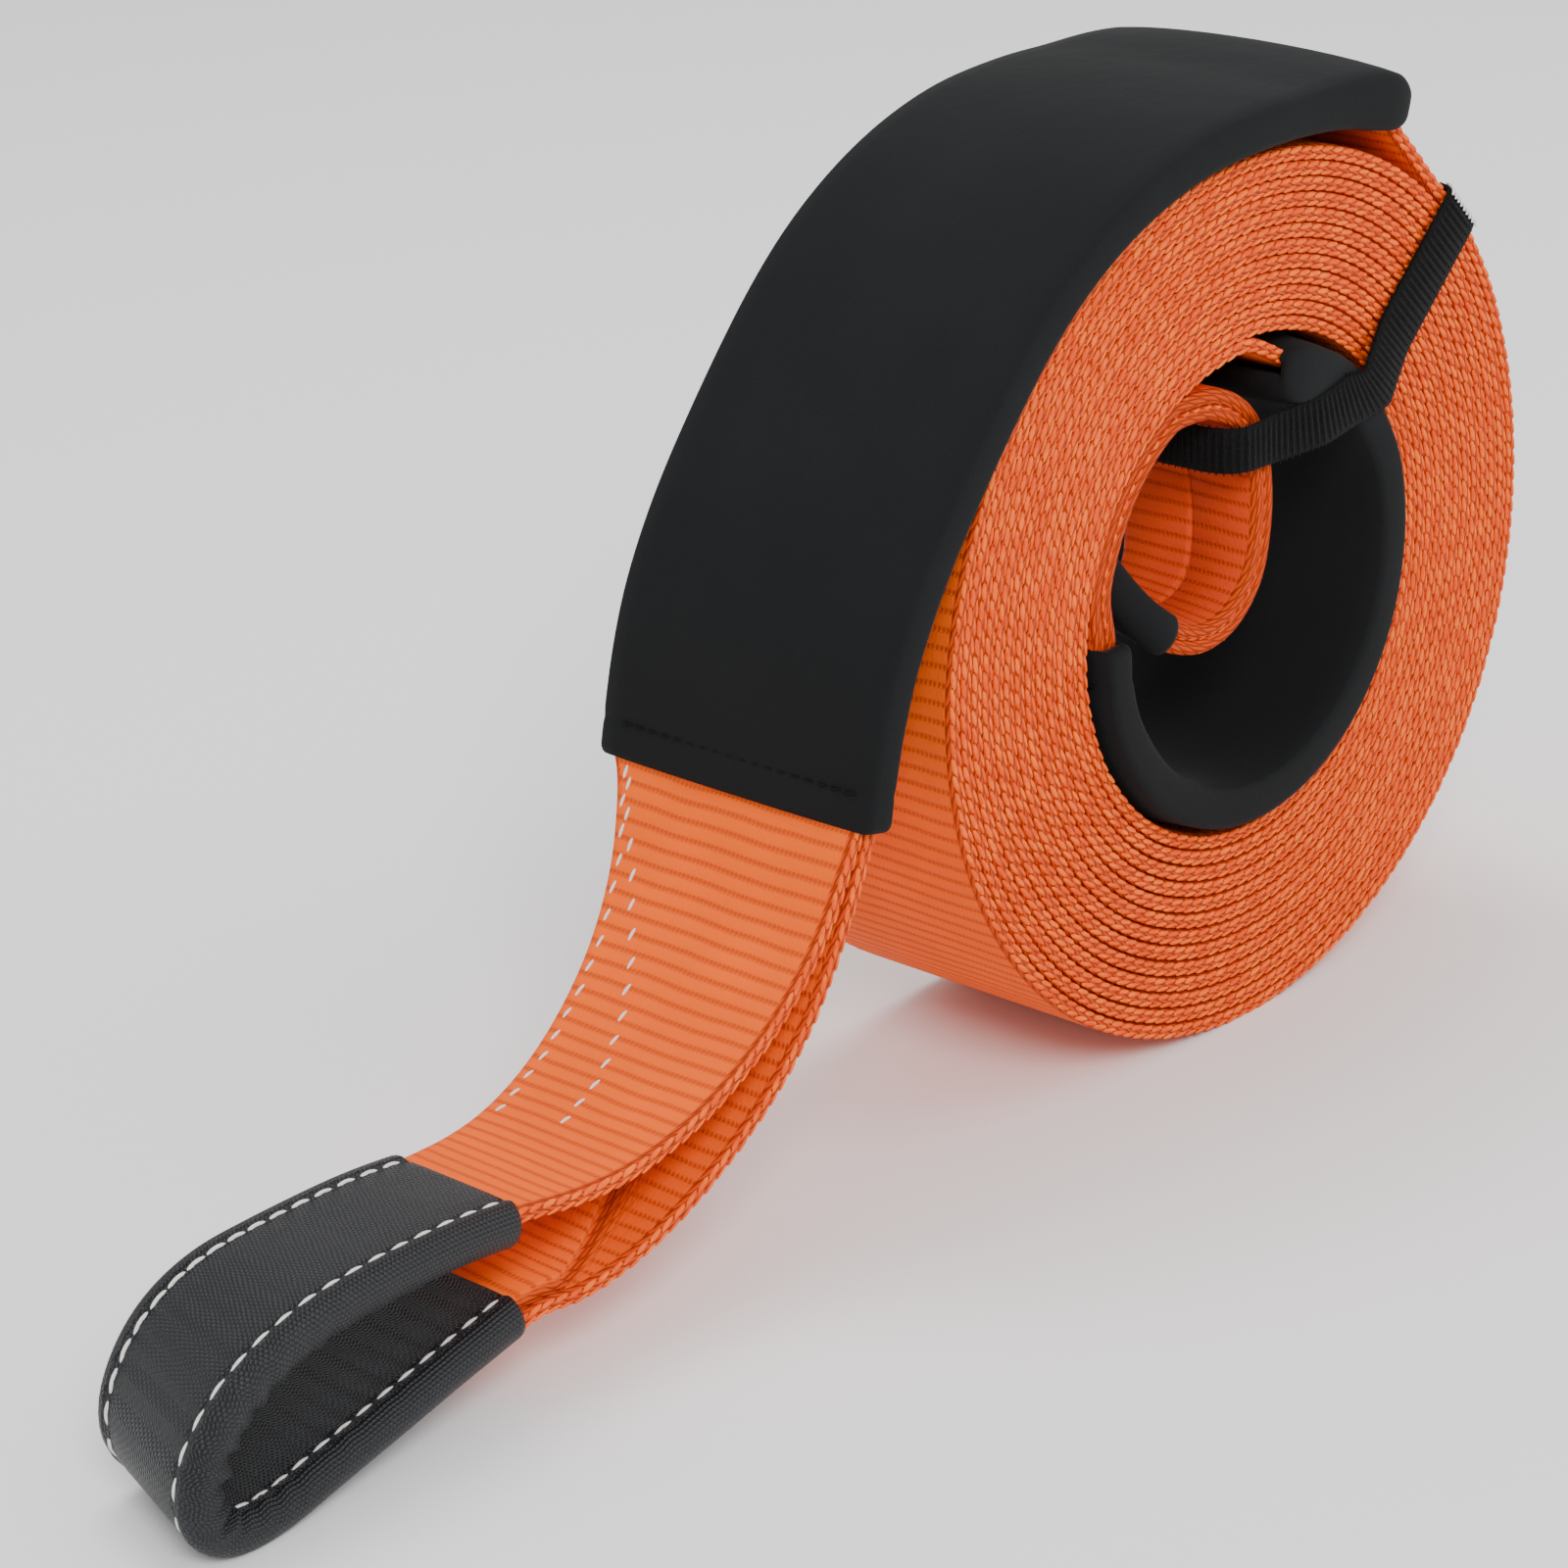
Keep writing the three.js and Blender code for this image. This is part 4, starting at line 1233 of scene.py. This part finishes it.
def band_stations():
    """The keeper band's middle line, the way across it and the way out of its face, all the way round."""
    deg = math.radians(BAND_DEG)
    out = np.array([math.cos(deg), 0.0, math.sin(deg)])
    aside = np.array([-out[2], 0.0, out[0]])
    axle = np.array([0.0, 0.0, ROLL_HEIGHT])
    face_y = WEB_WIDTH / 2 + BAND_STAND
    outer_r = float(np.linalg.norm(spiral([0.0])[0] - [0, ROLL_HEIGHT])) + BAND_STAND
    bore_r = float(np.linalg.norm(spiral(bore_laps([BAND_DEG]), -PLY)[0] - [0, ROLL_HEIGHT]))
    turn_in = face_y - BAND_CORNER

    def on_ring(radius, y):
        return axle + out * radius + np.array([0.0, y, 0.0])

    flat = np.array([0.0, 1.0, 0.0])
    on_face = (outer_r - BAND_CORNER, outer_r - BAND_CORNER - 5, bore_r + 12)
    half = [(on_ring(outer_r, y), BAND_WIDTH, 0, out) for y in (0, turn_in - 4, turn_in)]
    half.append((on_ring(outer_r - 0.5, face_y - 0.5), BAND_WIDTH, 0, out + flat))
    half += [(on_ring(radius, face_y), BAND_WIDTH, 0, flat) for radius in on_face]
    half.append((on_ring(bore_r - 3, face_y + 3), BAND_WIDTH, 0, flat))
    # Where the band crosses the bore: x, z, how far out of the face, width, turn upright and facing
    crossing = ((36, 149.2, 3, 15, 0.45, 0), (24, 147.2, 3, 14, 0.75, 0), (10, 146, 0, 13, 1, 0),
                (-1, 145.7, -0.4, 12, 1, 20), (-5, 145.7, -3.4, 12, 1, 51), (-6.4, 145.6, -9, 12, 1, 84))
    for x, z, y, width, turn, facing in crossing:
        angle = math.radians(facing)
        normal = np.array([-math.sin(angle), math.cos(angle), 0.0])
        half.append((np.array([x, face_y + y, z]), width, turn, normal))
    half.append((np.array([-6.6, 0.0, 145.2]), 12, 1, np.array([-1.0, 0.0, 0.0])))
    mirror = np.array([1.0, -1.0, 1.0])
    back = [(at * mirror, width, turn, normal * mirror) for at, width, turn, normal in half[1:-1][::-1]]
    stations = half + back
    values = []
    for at, width, turn, normal in stations + stations[:1]:
        across = aside * (1 - turn) + np.array([0.0, 0.0, 1.0]) * turn
        across = across / np.linalg.norm(across)
        normal = normal / np.linalg.norm(normal)
        values.append(np.concatenate([at, [width], across, normal]))
    values = np.asarray(values)
    s = distances(values[:, :3])
    at = np.linspace(0, s[-1], int(s[-1] / BAND_STEP) + 1)[:-1]
    fine = np.stack([np.interp(at, s, values[:, k]) for k in range(values.shape[1])], -1)
    kernel = np.array([1, 2, 3, 2, 1]) / 9.0
    padded = np.concatenate([fine[-2:], fine, fine[:2]])
    fine = np.stack([np.convolve(padded[:, k], kernel, "valid") for k in range(fine.shape[1])], -1)
    return at, fine[:, :3], fine[:, 3], fine[:, 4:7], fine[:, 7:10]


class STRAP_OT_band(bpy.types.Operator):
    """Build the ribbed elastic keeper band"""

    bl_idname = "strap.band"
    bl_label = "Keeper band"

    def execute(self, context):
        settings = context.scene.recovery_strap
        material = material_for("ribbed_elastic", elastic_material, settings)
        s, middle, width, across, normal = band_stations()
        normal = normal / np.linalg.norm(normal, axis=1)[:, None]
        rings = []
        for a, t in ((-0.97, -0.7), (0.97, -0.7), (1.0, 0.0), (0.97, 0.7), (-0.97, 0.7), (-1.0, 0.0)):
            aside = across * (a * width / 2 * STRIP_SHARE)[:, None]
            rings.append(middle + aside + normal * (t * BAND_THICKNESS / 2))
        rings = np.stack(rings, 1)
        piece = loft("band_strip", rings, s, material, loop=True)
        finished(piece, "elastic_band")
        rib = np.arange(0, len(s), 2)
        kinds = np.abs(width[rib][:, None] + 0.4 - np.array(RIB_LENGTHS)).argmin(1)
        for kind, length in enumerate(RIB_LENGTHS):
            at = rib[kinds == kind]
            marks = Marks()
            for face in (1, -1):
                out = middle[at] + face * normal[at] * BAND_THICKNESS * RIB_STAND
                marks.add(out, across[at], face * normal[at])
            sizes = {"Length": length * MM, "Width": 1.5 * MM, "Height": 0.9 * MM}
            ribs = repeated("band_ribs_%d" % (kind + 1), bead_tree(), marks, material, sizes,
                            smallest=0.97, seed=9)
            finished(ribs, "elastic_band")
        corner = np.abs(middle[:, 1] + WEB_WIDTH / 2) + np.where(middle[:, 0] < 70, 100.0, 0.0)
        join = int(np.argmin(corner))
        offsets = np.linspace(-JOIN_REACH, JOIN_REACH, JOIN_STITCHES)[:, None]
        run = middle[join + 1] - middle[join - 1]
        marks = Marks()
        marks.add(middle[join] + offsets * across[join] + normal[join] * BAND_THICKNESS * JOIN_STAND,
                  np.tile(run / np.linalg.norm(run), (JOIN_STITCHES, 1)),
                  np.tile(normal[join], (JOIN_STITCHES, 1)))
        pale = material_for("pale_thread", thread_material, settings.thread_colour)
        sizes = {"Length": 4.4 * MM, "Thickness": 0.7 * MM, "Rise": 0.9 * MM}
        bar = repeated("band_join_stitches", thread_tree(), marks, pale, sizes)
        finished(bar, "elastic_band")
        return {"FINISHED"}


# The camera fitted to the photograph: angles in radians, lengths in millimetres
CAMERA = {"azimuth": -0.8095126, "elevation": 0.3877307, "roll": -0.0414967, "distance": 1159.01,
          "right": -109.740, "up": -45.992, "target": (0.0, -37.5, 110.536), "lens": 112.5}
LIGHTS = (("key", (-1.3, -1.5, 1.6), 0.9, 40.0), ("fill", (1.5, -1.1, 0.7), 1.2, 12.0),
          ("top", (0.2, 0.5, 1.9), 1.0, 16.0))
LIGHT_TARGET = (-0.08, 0.0, 0.1)
FLOOR_HALF = 8.0
WORLD_STRENGTH = 0.85


def new_camera():
    """The camera at the photograph's place, made the scene's own."""
    a, e, roll = CAMERA["azimuth"], CAMERA["elevation"], CAMERA["roll"]
    back = Vector((math.sin(a) * math.cos(e), -math.cos(a) * math.cos(e), math.sin(e)))
    right0 = Vector((math.cos(a), math.sin(a), 0.0))
    up0 = back.cross(right0)
    right = right0 * math.cos(roll) + up0 * math.sin(roll)
    up = up0 * math.cos(roll) - right0 * math.sin(roll)
    eye = Vector(CAMERA["target"]) + right * CAMERA["right"] + up * CAMERA["up"]
    eye = eye + back * CAMERA["distance"]
    data = bpy.data.cameras.new("photo_camera")
    data.sensor_width = 36.0
    data.lens = CAMERA["lens"]
    data.clip_start = 0.05
    data.clip_end = 30.0
    camera = bpy.data.objects.new("photo_camera", data)
    turn = Matrix((right, up, back)).transposed().to_4x4()
    camera.matrix_world = Matrix.Translation(eye * MM) @ turn
    bpy.context.scene.collection.objects.link(camera)
    bpy.context.scene.camera = camera


def area_light(name, place, size, energy):
    """A round soft light that faces the strap."""
    data = bpy.data.lights.new(name, "AREA")
    data.shape = "DISK"
    data.size = size
    data.energy = energy
    light = bpy.data.objects.new(name, data)
    light.location = place
    light.rotation_euler = (Vector(LIGHT_TARGET) - Vector(place)).to_track_quat("-Z", "Y").to_euler()
    bpy.context.scene.collection.objects.link(light)


class STRAP_OT_stage(bpy.types.Operator):
    """Set the camera, the soft lights and a plain pale floor"""

    bl_idname = "strap.stage"
    bl_label = "Stage"

    def execute(self, context):
        new_camera()
        mesh = bpy.data.meshes.new("floor")
        r = FLOOR_HALF
        mesh.from_pydata([(-r, -r, 0), (r, -r, 0), (r, r, 0), (-r, r, 0)], [], [(0, 1, 2, 3)])
        floor = bpy.data.objects.new("floor", mesh)
        bpy.context.scene.collection.objects.link(floor)
        n = Nodes("pale_floor")
        shade(n, (0.9, 0.9, 0.9, 1.0), roughness=0.9, normal=None, specular=0.1)
        mesh.materials.append(n.material)
        world = bpy.data.worlds.new("soft_room")
        world.use_nodes = True
        back = world.node_tree.nodes["Background"]
        back.inputs[0].default_value = (1.0, 1.0, 1.0, 1.0)
        back.inputs[1].default_value = WORLD_STRENGTH
        context.scene.world = world
        for light in LIGHTS:
            area_light(*light)
        return {"FINISHED"}


OPERATORS = (STRAP_OT_stage, STRAP_OT_webbing, STRAP_OT_inner_tail, STRAP_OT_edge_yarns, STRAP_OT_sleeves,
             STRAP_OT_covers, STRAP_OT_tail_stitches, STRAP_OT_band)


class STRAP_PT_panel(bpy.types.Panel):
    """Lists the strap's pieces and settings"""

    bl_label = "Recovery strap"
    bl_idname = "STRAP_PT_panel"
    bl_space_type = "VIEW_3D"
    bl_region_type = "UI"
    bl_category = "Strap"

    def draw(self, context):
        settings = context.scene.recovery_strap
        for name in ("webbing_colour", "inner_end_painted_shade", "webbing_painted_shade_and_dark_yarn", "strand_colour", "sleeve_colour",
                     "cover_colour", "band_colour", "thread_colour", "rib_pitch", "stitch_length",
                     "thread_thickness", "yarn_length"):
            self.layout.prop(settings, name)
        for operator in OPERATORS:
            self.layout.operator(operator.bl_idname)


CLASSES = (StrapSettings, *OPERATORS, STRAP_PT_panel)


def register():
    for cls in CLASSES:
        bpy.utils.register_class(cls)
    bpy.types.Scene.recovery_strap = bpy.props.PointerProperty(type=StrapSettings)


def unregister():
    del bpy.types.Scene.recovery_strap
    for cls in reversed(CLASSES):
        bpy.utils.unregister_class(cls)


def main():
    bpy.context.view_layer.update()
    register()
    for operator in OPERATORS:
        group, name = operator.bl_idname.split(".")
        getattr(getattr(bpy.ops, group), name)()


if __name__ == "__main__":
    main()
